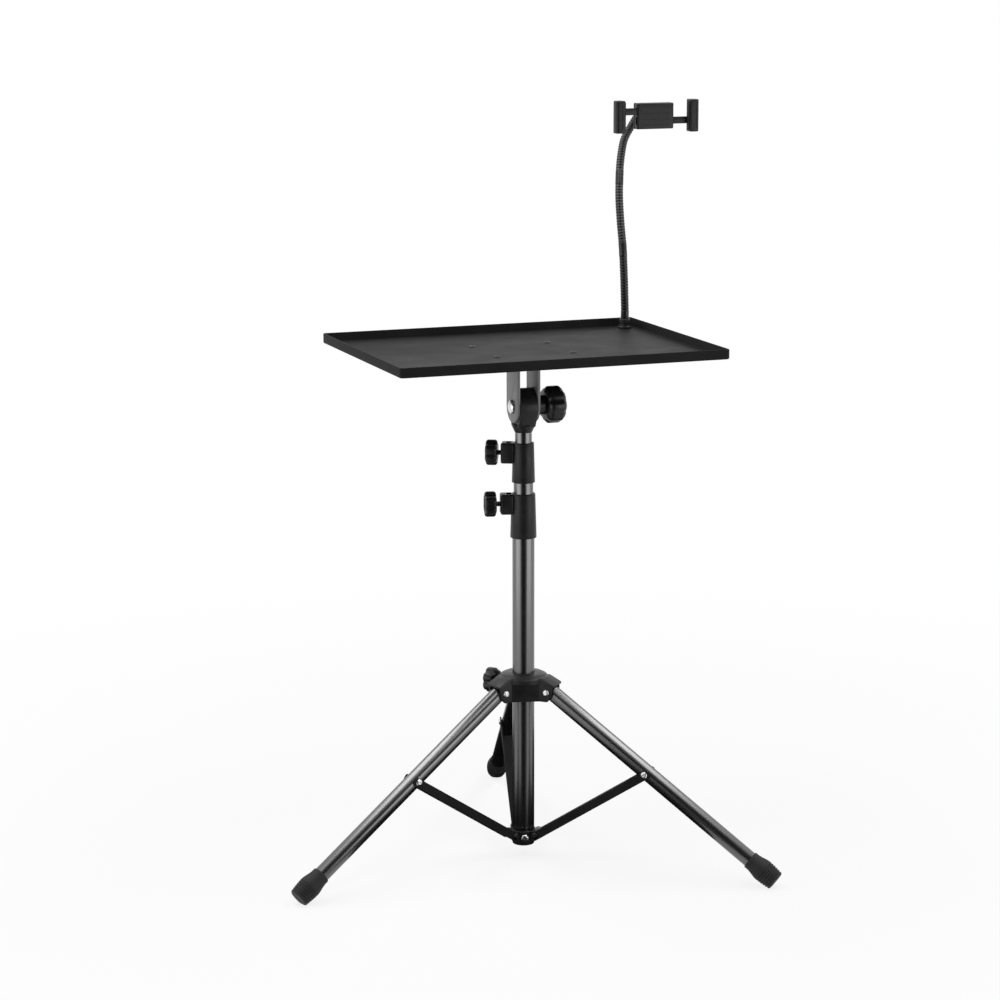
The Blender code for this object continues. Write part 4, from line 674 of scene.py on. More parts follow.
@dataclass(frozen=True)
class Grip:
    """The form of a lobed knob: its plan, its rounded rims and its sunk face."""

    diameter: float
    thickness: float
    lobes: int
    lobe_depth: float
    edge: float
    rim: Profile
    face: Profile
    back: float = 0.30
    steps: int = 16

    def solid(self, axis: Matrix, middle: float) -> Solid:
        """Build the knob.

        Args:
            axis: The place whose Z it turns about.
            middle: The height of its middle there.

        Returns:
            The closed knob.
        """
        half = self.thickness / 2.0
        drop = self.edge / (self.diameter / 2.0)
        outline = lobed_outline(self.diameter / 2.0, self.lobes, self.lobe_depth, self.steps)
        sections = [(self.back, -half)]
        sections += [(1.0 - drop * inset, up * self.edge - half) for inset, up in self.rim]
        sections += [(1.0 - drop * inset, half - up * self.edge) for inset, up in reversed(self.rim)]
        sections += [(share, half - down) for share, down in self.face]
        return Solid.stacked(outline, sections).placed(axis, at((0.0, 0.0, middle)))


CLAMP_GRIP = Grip(diameter=0.029, thickness=0.0132, lobes=6, lobe_depth=0.0026, edge=0.0018,
                  rim=((1.6, 0.0), (0.7, 0.3), (0.15, 1.0), (0.0, 1.6)),
                  face=((0.66, 0.0), (0.60, 0.0009), (0.30, 0.0011)))
TILT_GRIP = Grip(diameter=0.042, thickness=0.022, lobes=8, lobe_depth=0.0014, edge=0.0044,
                 rim=((1.15, 0.0), (0.90, 0.12), (0.10, 0.92), (0.0, 1.3)),
                 face=((0.64, 0.0), (0.60, 0.0012), (0.25, 0.0015)), steps=20)


# Column

@dataclass
class Column:
    """The three column tubes and the plug at the lower end."""

    wall: float = 0.001
    lower_ends: Pair = (0.0145, 0.398)
    middle_ends: Pair = (0.071, 0.456)
    top_ends: Pair = (0.115, 0.505)
    dimple_height: float = 0.0345
    dimple_radius: float = 0.0011
    dimple_turn: float = 11.0
    screw_height: float = 0.0215
    screw_bore: float = 0.0021
    plug_spigot: float = 0.004
    plug_flange: float = 0.002
    plug_edge: float = 0.0005

    def tube(self, name: str, diameter: float, ends: Pair, body: str) -> None:
        """Build one plain tube.

        Args:
            name: The CAD node that it stands for.
            diameter: Its outer diameter.
            ends: The heights of its ends.
            body: The moving body that it rides on.
        """
        radius = diameter / 2.0
        tube = Solid.ring(radius, radius - self.wall, *ends, EDGE)
        tube.piece(name + "_shell", GLOSS_PAINT, body, [name])

    def lower_tube(self) -> None:
        """Build the lower tube with the two dimples above its collar and the collar screw's hole."""
        radius = LOWER_TUBE / 2.0
        tube = Solid.ring(radius, radius - self.wall, *self.lower_ends, EDGE)
        tools = []
        for side in (-1.0, 1.0):
            centre = polar(FRONT + side * self.dimple_turn, radius + self.dimple_radius * 0.5,
                           self.dimple_height)
            tools.append(Solid.ball(self.dimple_radius, centre, 20))
        axis = radial_axis(FRONT, self.screw_height)
        tools.append(Solid.rod(self.screw_bore, 0.4 * radius, 1.3 * radius, BORE_STEPS).placed(axis))
        tube.cut(*tools).piece("lower_tube_shell", GLOSS_PAINT, "root", ["lower_tube"])

    def plug(self) -> None:
        """Build the plug that closes the column's lower end."""
        radius = LOWER_TUBE / 2.0
        seat = self.lower_ends[0] - GAP
        top = self.lower_ends[0] + self.plug_spigot
        bottom = seat - self.plug_flange
        spigot = radius - self.wall - GAP
        profile = [(0.0, top), (spigot - self.plug_edge, top), (spigot, top - self.plug_edge), (spigot, seat),
                   (radius, seat), (radius, bottom + 1.2 * self.plug_edge),
                   (radius - 1.2 * self.plug_edge, bottom), (0.0, bottom)]
        Solid.turned(profile).piece("column_end_cap", PLASTIC, "root", ["column_end_plug"])

    def build(self) -> None:
        """Build the column."""
        self.lower_tube()
        self.tube("middle_tube", MIDDLE_TUBE, self.middle_ends, "middle_column")
        self.tube("top_tube", TOP_TUBE, self.top_ends, "top_column")
        self.plug()


@dataclass
class ClampScrew:
    """A clamping screw with its lobed knob, on an axis that runs outwards from the column."""

    name: str
    direction: float
    height: float
    tube_radius: float
    knob_radius: float
    screw_diameter: float = 0.006
    thread_depth: float = 0.00035
    thread_pitch: float = 0.001
    screw_in_knob: float = 0.009

    def screw(self, axis: Matrix) -> None:
        """Build the screw, whose thread is a row of fine ridges.

        Args:
            axis: The screw's place, with Z outwards.
        """
        radius = self.screw_diameter / 2.0
        start = self.tube_radius + GAP
        end = self.knob_radius + self.screw_in_knob
        profile = [(0.0, start), (radius - 2.0 * self.thread_depth, start)]
        height = start + self.thread_pitch * 0.5
        while height < end - self.thread_pitch:
            profile += [(radius - self.thread_depth, height), (radius, height + self.thread_pitch * 0.25),
                        (radius, height + self.thread_pitch * 0.4),
                        (radius - self.thread_depth, height + self.thread_pitch * 0.65)]
            height += self.thread_pitch
        profile += [(radius, end), (0.0, end)]
        screw = Solid.turned(profile, 24).placed(axis)
        screw.piece(self.name + "_threaded_screw", ZINC, self.name, [self.name + "_screw"], 50.0)

    def knob(self, axis: Matrix) -> None:
        """Build the lobed knob with rounded rims and a sunk face.

        Args:
            axis: The screw's place, with Z outwards.
        """
        knob = CLAMP_GRIP.solid(axis, self.knob_radius + CLAMP_GRIP.thickness / 2.0)
        hole = Solid.rod(self.screw_diameter / 2.0 + GAP, self.knob_radius - PAST,
                         self.knob_radius + self.screw_in_knob + GAP, 32).placed(axis)
        knob.cut(hole).piece(self.name + "_grip", GRIP_PLASTIC, self.name, [self.name], 38.0)

    def build(self) -> None:
        """Build the screw and its knob."""
        axis = radial_axis(self.direction, self.height)
        self.screw(axis)
        self.knob(axis)


@dataclass
class ClampCollar:
    """A tapered clamp collar at the top of a tube, with the boss of its clamping screw."""

    name: str
    body: str
    bottom: float
    top: float
    top_diameter: float
    bottom_diameter: float
    boss_bottom: float
    boss_reach: float
    direction: float
    screw_height: float
    seat_diameter: float
    seat_top: float
    clamped_diameter: float
    boss_width: float = 0.017
    boss_edge: float = 0.0022
    boss_drop: float = 0.0002
    rim: float = 0.0007
    nut_size: float = 0.010
    nut_radius: float = 0.0165
    nut_thickness: float = 0.005

    def build(self) -> None:
        """Build the collar, joined with its boss, bored for the tubes, the screw and the nut."""
        upper = self.top_diameter / 2.0
        lower = self.bottom_diameter / 2.0
        seat = self.seat_diameter / 2.0 + GAP
        clamped = self.clamped_diameter / 2.0 + GAP
        profile = [(clamped, self.top - EDGE), (clamped + EDGE, self.top), (upper - self.rim, self.top),
                   (upper - 0.3 * self.rim, self.top - 0.3 * self.rim), (upper, self.top - self.rim),
                   (lower, self.bottom + self.rim), (lower - 0.3 * self.rim, self.bottom + 0.3 * self.rim),
                   (lower - self.rim, self.bottom), (seat, self.bottom), (seat, self.seat_top + GAP),
                   (clamped, self.seat_top + GAP)]
        collar = Solid.turned(profile, FINE_STEPS, True)
        axis = radial_axis(self.direction, self.screw_height)
        half = self.boss_width / 2.0
        boss = Solid.block((self.screw_height - self.top + self.boss_drop, -half, clamped + GAP),
                           (self.screw_height - self.boss_bottom, half, self.boss_reach))
        boss.rounded(self.boss_edge, 4).placed(axis)
        bore = Solid.rod(clamped, self.bottom - PAST, self.top + PAST, FINE_STEPS)
        nut_half = self.nut_size / 2.0 + GAP
        back = self.nut_radius - self.nut_thickness / 2.0 - GAP
        pocket = Solid.block((self.screw_height - self.top - PAST, -nut_half, back),
                             (nut_half, nut_half, back + self.nut_thickness + 2.0 * GAP)).placed(axis)
        hole = Solid.rod(SCREW_BORE, 0.0, self.boss_reach + 2.0 * PAST, 32).placed(axis)
        collar.joined(boss).cut(bore, pocket, hole)
        collar.piece(self.name + "_moulding", PLASTIC, self.body, [self.name], 34.0)


# Base

@dataclass
class BottomCollar:
    """The collar at the foot of the column, which carries the struts."""

    bottom: float = 0.015
    height: float = 0.0145
    diameter: float = 0.029
    edge: float = 0.0030
    rim: float = 0.0005
    lug_radius: float = 0.005
    lug_width: float = 0.018
    strut_wall: float = 0.0015
    pivot_radius: float = 0.019
    pivot_height: float = 0.026
    screw_height: float = Column.screw_height
    screw_head: float = 0.0045
    screw_head_height: float = 0.002
    screw_dome: Profile = ((0.0, 0.0), (0.45, 0.0), (0.72, 0.00018), (0.90, 0.0006), (1.0, 0.0013))
    screw_shaft: float = 0.0018
    screw_length: float = 0.0042
    screw_bore: float = Column.screw_bore
    slot_width: float = 0.00084
    slot_depth: float = 0.0011
    slot_turn: float = 20.0

    def collar(self) -> None:
        """Build the collar with its three lugs."""
        inner = LOWER_TUBE / 2.0 + GAP
        outer = self.diameter / 2.0
        top = self.bottom + self.height
        curve = [(outer, self.bottom + self.edge), (outer - 0.07 * self.edge, self.bottom + 0.62 * self.edge),
                 (outer - 0.28 * self.edge, self.bottom + 0.28 * self.edge), (inner + 2.0 * GAP, self.bottom)]
        profile = [(outer - self.rim, top), (outer, top - self.rim)] + curve
        profile += [(inner, self.bottom), (inner, top)]
        collar = Solid.turned(profile, FINE_STEPS, True)
        lugs = []
        holes = []
        for direction in LEG_DIRECTIONS:
            place = side_view(polar(direction, self.pivot_radius, self.pivot_height), direction)
            start = (inner + outer) / 2.0 - self.pivot_radius
            outline = arc((0.0, 0.0), self.lug_radius, -90.0, 90.0, 16)
            outline += [(start, self.lug_radius), (start, -self.lug_radius)]
            lugs.append(Solid.prism(outline, self.lug_width).rounded(EDGE, 2, 60.0).placed(place))
            holes.append(Solid.rod(RIVET_BORE, -self.lug_width, self.lug_width, BORE_STEPS).placed(place))
        axis = radial_axis(FRONT, self.screw_height)
        hole = Solid.rod(self.screw_bore, 0.0, self.diameter, BORE_STEPS).placed(axis)
        collar.joined(*lugs).cut(hole, *holes)
        collar.piece("bottom_collar_moulding", PLASTIC, "root", ["bottom_collar"], 34.0)

    def screw(self) -> None:
        """Build the cross-slot screw on the collar's front."""
        seat = self.diameter / 2.0 + GAP
        top = seat + self.screw_head_height
        head = self.screw_head
        end = seat - self.screw_length
        profile = [(head * out, top - down) for out, down in self.screw_dome]
        profile += [(head, seat), (self.screw_shaft, seat), (self.screw_shaft, end), (0.0, end)]
        slots = crossed_slots(head * 1.04, self.slot_width, top - self.slot_depth, top + PAST)
        turn = turned_by(self.slot_turn, "Z")
        screw = Solid.turned(profile, SMALL_STEPS).cut(*(slot.placed(turn) for slot in slots))
        screw.placed(radial_axis(FRONT, self.screw_height))
        screw.piece("bottom_collar_cross_screw", NICKEL, "root", ["bottom_collar_screw"])

    def build(self) -> None:
        """Build the collar, its screw and its rivets."""
        self.collar()
        self.screw()
        pivot_rivets("strut_rivet", "strut_pivot_rivet", DARK_STEEL, "root",
                     self.lug_width + 2.0 * (GAP + self.strut_wall), (self.pivot_radius, self.pivot_height))


@dataclass
class Hub:
    """The sliding hub with its dome, its three clevises, rivets and captive nut."""

    leg: "LegSet"
    bottom: float = 0.186
    height: float = 0.027
    flat_radius: float = 0.023
    dome_radius: float = 0.028
    dome_top: float = 0.216
    rim_height: float = 0.0045
    dome_curve: Profile = ((0.0, 0.0), (0.55, 0.0), (0.70, 0.0004), (0.84, 0.0013), (0.94, 0.0027))
    plate: float = 0.0027
    reach: float = 0.040
    roof_reach: float = 0.042
    roof_thickness: float = 0.0025
    chamfer: float = 0.006
    boss_reach: float = 0.0285
    boss_width: float = 0.018
    boss_inset: float = 0.0015
    screw_direction: float = 135.6
    screw_height: float = 0.202
    nut_radius: float = 0.020
    nut_size: float = 0.010
    nut_thickness: float = 0.005
    edge: float = 0.0006

    def plan(self) -> list[Pair]:
        """Outline the hub's three flats between the flanks of the three clevises.

        Returns:
            The plan's points.
        """
        half = self.leg.diameter / 2.0 + GAP + self.plate
        corner = (self.flat_radius - half * math.sin(math.radians(60.0))) / math.cos(math.radians(60.0))
        points = []
        for direction in LEG_DIRECTIONS:
            for side in (-half, half):
                point = turned_by(direction, "Z") @ Vector((corner, side, 0.0))
                points.append((point.x, point.y))
        return points

    def clevis_side(self, drop: float) -> list[Pair]:
        """Outline a clevis seen from the side.

        Args:
            drop: The height of its roof's underside above the pivot.

        Returns:
            Its points, as radius and height from the pivot.
        """
        low = self.bottom - self.leg.pivot_height
        high = self.bottom + self.height - self.leg.pivot_height
        reach = self.reach - self.leg.pivot_radius
        tip = self.roof_reach - self.leg.pivot_radius
        inner = LOWER_TUBE / 2.0 + 4.0 * GAP - self.leg.pivot_radius
        dome = self.dome_radius - self.leg.pivot_radius
        return [(inner, low), (reach - self.chamfer, low), (reach, low + self.chamfer), (reach, drop),
                (tip, drop), (tip, drop + self.roof_thickness), (dome, high), (inner, high)]

    def slot_side(self, clear: float, drop: float) -> list[Pair]:
        """Outline the slot in which a leg turns, seen from the side.

        Args:
            clear: The radius that the leg's end needs.
            drop: The height of the roof's underside above the pivot.

        Returns:
            Its points, as radius and height from the pivot.
        """
        low = self.bottom - self.leg.pivot_height - GAP
        tip = self.roof_reach - self.leg.pivot_radius
        past = tip + self.roof_thickness
        corners = [(-clear, low), (past, low), (past, drop), (tip, drop)]
        return corners + arc((0.0, 0.0), clear, 80.0, 180.0, 16)

    def body(self) -> None:
        """Build the hub's moulding."""
        half = self.leg.diameter / 2.0 + GAP
        outer_half = half + self.plate
        clear = math.hypot(self.leg.diameter / 2.0, self.leg.past_pivot) + 2.0 * GAP
        tilt = math.radians(self.leg.angle)
        tip = self.roof_reach - self.leg.pivot_radius
        drop = (self.leg.diameter / 2.0 + 5.0 * GAP - tip * math.cos(tilt)) / math.sin(tilt)
        middle = self.bottom + self.height / 2.0
        hub = Solid.prism(self.plan(), self.height).rounded(self.edge, 2, 40.0).placed(at((0.0, 0.0, middle)))
        rim = self.dome_top - self.rim_height
        radius = self.dome_radius
        dome = [(radius * out, self.dome_top - down) for out, down in self.dome_curve]
        dome += [(radius, rim), (radius, rim - self.rim_height), (0.0, rim - self.rim_height)]
        shapes = [Solid.turned(dome)]
        cutters = []
        for direction in LEG_DIRECTIONS:
            place = side_view(polar(direction, self.leg.pivot_radius, self.leg.pivot_height), direction)
            clevis = Solid.prism(self.clevis_side(drop), 2.0 * outer_half).rounded(self.edge, 2, 25.0)
            shapes.append(clevis.placed(place))
            cutters.append(Solid.prism(self.slot_side(clear, drop), 2.0 * half).placed(place))
            bore = Solid.rod(RIVET_BORE, -2.0 * outer_half, 2.0 * outer_half, BORE_STEPS)
            cutters.append(bore.placed(place))
        axis = radial_axis(self.screw_direction, self.screw_height)
        top = self.bottom + self.height
        boss_half = self.boss_width / 2.0
        boss = Solid.block((self.screw_height - top + self.boss_inset, -boss_half,
                            self.flat_radius - self.boss_inset),
                           (boss_half, boss_half, self.boss_reach)).rounded(self.edge, 2)
        shapes.append(boss.placed(axis))
        nut_half = self.nut_size / 2.0 + GAP
        back = self.nut_radius - self.nut_thickness / 2.0 - GAP
        cutters.append(Solid.rod(LOWER_TUBE / 2.0 + GAP, self.bottom - PAST, self.dome_top + PAST,
                                 FINE_STEPS))
        cutters.append(Solid.block((-nut_half, -nut_half, back),
                                   (self.screw_height - self.bottom + PAST, nut_half,
                                    back + self.nut_thickness + 2.0 * GAP)).placed(axis))
        cutters.append(Solid.rod(SCREW_BORE, 0.0, self.boss_reach + PAST, 32).placed(axis))
        hub.joined(*shapes).cut(*cutters)
        hub.piece("hub_moulding", PLASTIC, "hub", ["hub"], 30.0)

    def build(self) -> None:
        """Build the hub and its rivets."""
        self.body()
        pivot_rivets("leg_rivet", "leg_pivot_rivet", NICKEL, "hub",
                     self.leg.diameter + 2.0 * (GAP + self.plate),
                     (self.leg.pivot_radius, self.leg.pivot_height))


@dataclass
class LegSet:
    """The three legs with their ribbed rubber feet."""

    diameter: float = 0.018
    wall: float = 0.001
    length: float = 0.3323
    past_pivot: float = 0.005
    angle: float = 55.24
    pivot_radius: float = 0.033
    pivot_height: float = 0.197
    foot_length: float = 0.037
    foot_end: float = 0.0215
    foot_bulge: float = 0.0256
    foot_mouth: float = 0.0206
    bulge_height: float = 0.015
    solid_end: float = 0.009
    ribs: int = 5
    rib_pitch: float = 0.0032
    rib_form: Profile = ((0.0001, 0.0005), (0.0007, 0.0002), (0.0007, -0.0002), (0.0001, -0.0006),
                         (0.0, -0.0016))
    end_edge: float = 0.0006

    def place(self, direction: float) -> Matrix:
        """Return a leg's place: Z runs up along it from its foot to its pivot."""
        pivot = polar(direction, self.pivot_radius, self.pivot_height)
        return at(pivot) @ turned_by(direction, "Z") @ turned_by(-self.angle, "Y")

    def foot_profile(self) -> list[Pair]:
        """Outline half a foot from its mouth to its end, with round ribs.

        Returns:
            The profile as radius and height.
        """
        ribs_top = self.ribs * self.rib_pitch
        mouth = self.foot_mouth / 2.0
        bulge = self.foot_bulge / 2.0
        end = self.foot_end / 2.0
        points = [(self.diameter / 2.0 + GAP, self.foot_length), (mouth - EDGE, self.foot_length),
                  (mouth, self.foot_length - 1.25 * EDGE), (mouth, self.foot_length - self.rib_pitch)]
        start = (mouth, self.foot_length - self.rib_pitch)
        finish = (bulge, ribs_top + self.rib_pitch / 2.0)
        for step in range(1, 7):
            share = step / 6.0
            swell = 0.5 - 0.5 * math.cos(math.pi * share)
            points.append((start[0] + (finish[0] - start[0]) * swell,
                           start[1] + (finish[1] - start[1]) * share))
        for number in range(self.ribs):
            height = ribs_top - number * self.rib_pitch
            share = min(1.0, height / self.bulge_height)
            radius = end + (bulge - end) * share ** 0.6
            points += [(radius - inset, height + up) for inset, up in self.rib_form]
        points += [(end, self.end_edge), (end - self.end_edge, 0.0), (0.0, 0.0)]
        return points

    def leg(self, number: int, direction: float) -> None:
        """Build one leg tube.

        Args:
            number: Its number.
            direction: Its direction round the column in degrees.
        """
        outer = self.diameter / 2.0
        bottom = self.solid_end - self.length
        place = self.place(direction)
        tube = Solid.ring(outer, outer - self.wall, bottom, self.past_pivot, EDGE)
        bore = Solid.rod(RIVET_BORE, -self.diameter, self.diameter, BORE_STEPS)
        tube.cut(bore.placed(turned_by(90.0, "X")))
        tube.placed(place).piece("leg_%d_shell" % number, GLOSS_PAINT, "leg_%d" % number, ["leg_%d" % number])

    def foot(self, number: int, direction: float) -> None:
        """Build one ribbed rubber foot, flat where it stands.

        Args:
            number: Its leg's number.
            direction: Its leg's direction in degrees.
        """
        place = self.place(direction)
        bore = self.diameter / 2.0 + GAP
        floor = self.solid_end - GAP
        profile = [(0.0, floor), (bore, floor)] + self.foot_profile()
        foot = Solid.turned(profile, FINE_STEPS).placed(place, at((0.0, 0.0, -self.length)))
        geometry = list(foot.builder.verts) + list(foot.builder.edges) + list(foot.builder.faces)
        sliced = bmesh.ops.bisect_plane(foot.builder, geom=geometry, plane_co=(0.0, 0.0, 0.0),
                                        plane_no=(0.0, 0.0, -1.0), clear_outer=True)
        rim = [item for item in sliced["geom_cut"] if isinstance(item, bmesh.types.BMEdge)]
        if rim:
            bmesh.ops.contextual_create(foot.builder, geom=rim)
            bmesh.ops.recalc_face_normals(foot.builder, faces=foot.builder.faces)
        foot.piece("foot_%d_rubber" % number, RUBBER, "leg_%d" % number, ["foot_%d" % number], 40.0)

    def build(self) -> None:
        """Build the legs and feet."""
        for number, direction in enumerate(LEG_DIRECTIONS, 1):
            self.leg(number, direction)
            self.foot(number, direction)


@dataclass
class StrutSet:
    """The three channel struts with their rivets at the legs."""

    leg: LegSet
    collar: BottomCollar
    distance_on_leg: float = 0.1452
    wall: float = BottomCollar.strut_wall
    depth: float = 0.0096
    web_from_pivot: float = 0.0040
    past_pivot: float = 0.0055
    cutback_at_leg: float = 0.026
    cutback_at_collar: float = 0.009
    bend: float = 0.0012
    head_dome: Profile = ((0.0, 0.0012), (0.0009, 0.00125), (0.0013, 0.0017), (0.0022, 0.0018),
                          (0.0031, 0.0014), (0.0038, 0.0006), (0.0038, 0.0))
    head_shaft: float = 0.0021
    head_lift: float = 0.00005

    def length_and_angle(self) -> Pair:
        """Work out how a strut lies.

        Returns:
            Its length between its pivots and its angle from the vertical in degrees.
        """
        angle = math.radians(self.leg.angle)
        outer = self.leg.pivot_radius + self.distance_on_leg * math.sin(angle) - self.collar.pivot_radius
        rise = self.leg.pivot_height - self.distance_on_leg * math.cos(angle) - self.collar.pivot_height
        return math.hypot(outer, rise), math.degrees(math.atan2(outer, rise))

    def side(self, length: float) -> list[Pair]:
        """Outline a strut seen from the side, with round ends.

        Args:
            length: Its length between its pivots.

        Returns:
            The outline's points.
        """
        web = -self.web_from_pivot
        edge = self.depth - self.web_from_pivot
        radius = self.past_pivot
        corner = radius * 0.6
        left, right = web + corner, edge - corner
        low, high = corner - radius, length + radius - corner
        corners = ((left, low, 180.0), (right, low, 270.0), (right, high, 0.0), (left, high, 90.0))
        return [point for x, y, start in corners for point in arc((x, y), corner, start, start + 90.0, 8)]

    def hollow(self, length: float) -> list[Pair]:
        """Outline what is cut out between the flanges, through the web near both ends.

        Args:
            length: The strut's length between its pivots.

        Returns:
            The outline's points.
        """
        past = 2.0 * self.past_pivot
        inside = self.wall - self.web_from_pivot
        through = -2.0 * self.web_from_pivot
        return [(through, -past), (self.depth, -past), (self.depth, length + past), (through, length + past),
                (through, length - self.cutback_at_leg), (inside, length - self.cutback_at_leg),
                (inside, self.cutback_at_collar), (through, self.cutback_at_collar)]

    def strut(self, number: int, direction: float) -> None:
        """Build one strut and the heads of its rivet at the leg.

        Args:
            number: Its number.
            direction: Its leg's direction in degrees.
        """
        length, tilt = self.length_and_angle()
        inner = self.leg.diameter + 2.0 * GAP
        outer = inner + 2.0 * self.wall
        pivot = polar(direction, self.collar.pivot_radius, self.collar.pivot_height)
        place = at(pivot) @ turned_by(direction, "Z") @ turned_by(tilt, "Y") @ turned_by(90.0, "X")
        strut = Solid.prism(self.side(length), outer)
        web_edges = [edge for edge in strut.builder.edges
                     if all(vert.co.x < PAST / 2.0 - self.web_from_pivot for vert in edge.verts)
                     and abs(edge.verts[0].co.y - edge.verts[1].co.y) > 0.05]
        strut.bevelled(web_edges, self.bend, 5)
        holes = [Solid.rod(RIVET_BORE, -outer, outer, BORE_STEPS).placed(at((0.0, along, 0.0)))
                 for along in (0.0, length)]
        strut.cut(Solid.prism(self.hollow(length), inner), *holes)
        strut.placed(place).piece("strut_%d_channel" % number, SATIN_PAINT, "strut_%d" % number,
                                  ["strut_%d" % number], 34.0)
        for side, word in ((-1.0, "right"), (1.0, "left")):
            shaft = ((self.head_shaft, 0.0), (self.head_shaft, -self.wall), (0.0, -self.wall))
            turn = turned_by(180.0 if side < 0.0 else 0.0, "X")
            spot = at((0.0, length, side * (outer / 2.0 + self.head_lift)))
            head = Solid.turned(self.head_dome + shaft, SMALL_STEPS).placed(place, spot, turn)
            head.piece("strut_%d_leg_rivet_%s" % (number, word), NICKEL, "strut_%d" % number)

    def build(self) -> None:
        """Build the struts."""
        for number, direction in enumerate(LEG_DIRECTIONS, 1):
            self.strut(number, direction)


# Head, tray and phone holder

@dataclass
class TiltHead:
    """The head on top of the column, with the pin that holds it."""

    diameter: float = 0.041
    width: float = 0.0204
    neck_diameter: float = 0.023
    neck_top: float = 0.500
    bottom: float = 0.4929
    chamfer: float = 0.0015
    edge: float = 0.0006
    cone_rise: float = 0.0014
    cone_flare: float = 0.0020
    tube_top: float = Column.top_ends[1]
    pin_height: float = 0.499
    pin_diameter: float = 0.003
    pin_in_tube: float = 0.002
    pin_dome: Profile = ((0.0, 0.0002), (0.0008, 0.0), (0.0012, 0.0), (0.0015, 0.0004))

    def build(self) -> None:
        """Build the head and its pin."""
        radius = self.diameter / 2.0
        neck = self.neck_diameter / 2.0
        outline = arc((0.0, 0.0), radius, -25.0, 205.0, 64)
        outline += [(-neck, self.neck_top - TILT_HEIGHT), (neck, self.neck_top - TILT_HEIGHT)]
        place = facing_sideways((0.0, 0.0, TILT_HEIGHT))
        head = Solid.prism(outline, self.width).rounded(self.edge, 3, 60.0).placed(place)
        foot = neck - self.chamfer
        cone_top = self.neck_top + self.cone_rise
        shoulder = neck + self.cone_flare
        profile = [(0.0, cone_top + self.chamfer), (shoulder - self.chamfer, cone_top + self.chamfer),
                   (shoulder - 0.3 * self.chamfer, cone_top + 0.7 * self.chamfer), (shoulder, cone_top),
                   (foot, self.bottom + 0.4 * self.chamfer), (foot - 0.4 * self.chamfer, self.bottom),
                   (0.0, self.bottom)]
        bore = Solid.rod(TOP_TUBE / 2.0 + GAP, self.bottom - PAST, self.tube_top + GAP, FINE_STEPS)
        bolt = Solid.rod(TILT_BOLT / 2.0 + GAP, -self.diameter, self.diameter)
        bolt.placed(radial_axis(0.0, TILT_HEIGHT))
        pin_axis = radial_axis(90.0, self.pin_height)
        hole = Solid.rod(self.pin_diameter / 2.0 + GAP, 0.0, 2.0 * neck, BORE_STEPS).placed(pin_axis)
        head.joined(Solid.turned(profile)).cut(bore, bolt, hole)
        head.piece("tilt_head_moulding", PLASTIC, "top_column", ["tilt_head"], 34.0)
        tip = TOP_TUBE / 2.0 - self.pin_in_tube
        profile = [(out, neck - down) for out, down in self.pin_dome]
        profile += [(self.pin_diameter / 2.0, tip), (0.0, tip)]
        pin = Solid.turned(profile, BORE_STEPS).placed(pin_axis)
        pin.piece("tilt_head_pin", NICKEL, "top_column", ["head_pin"])


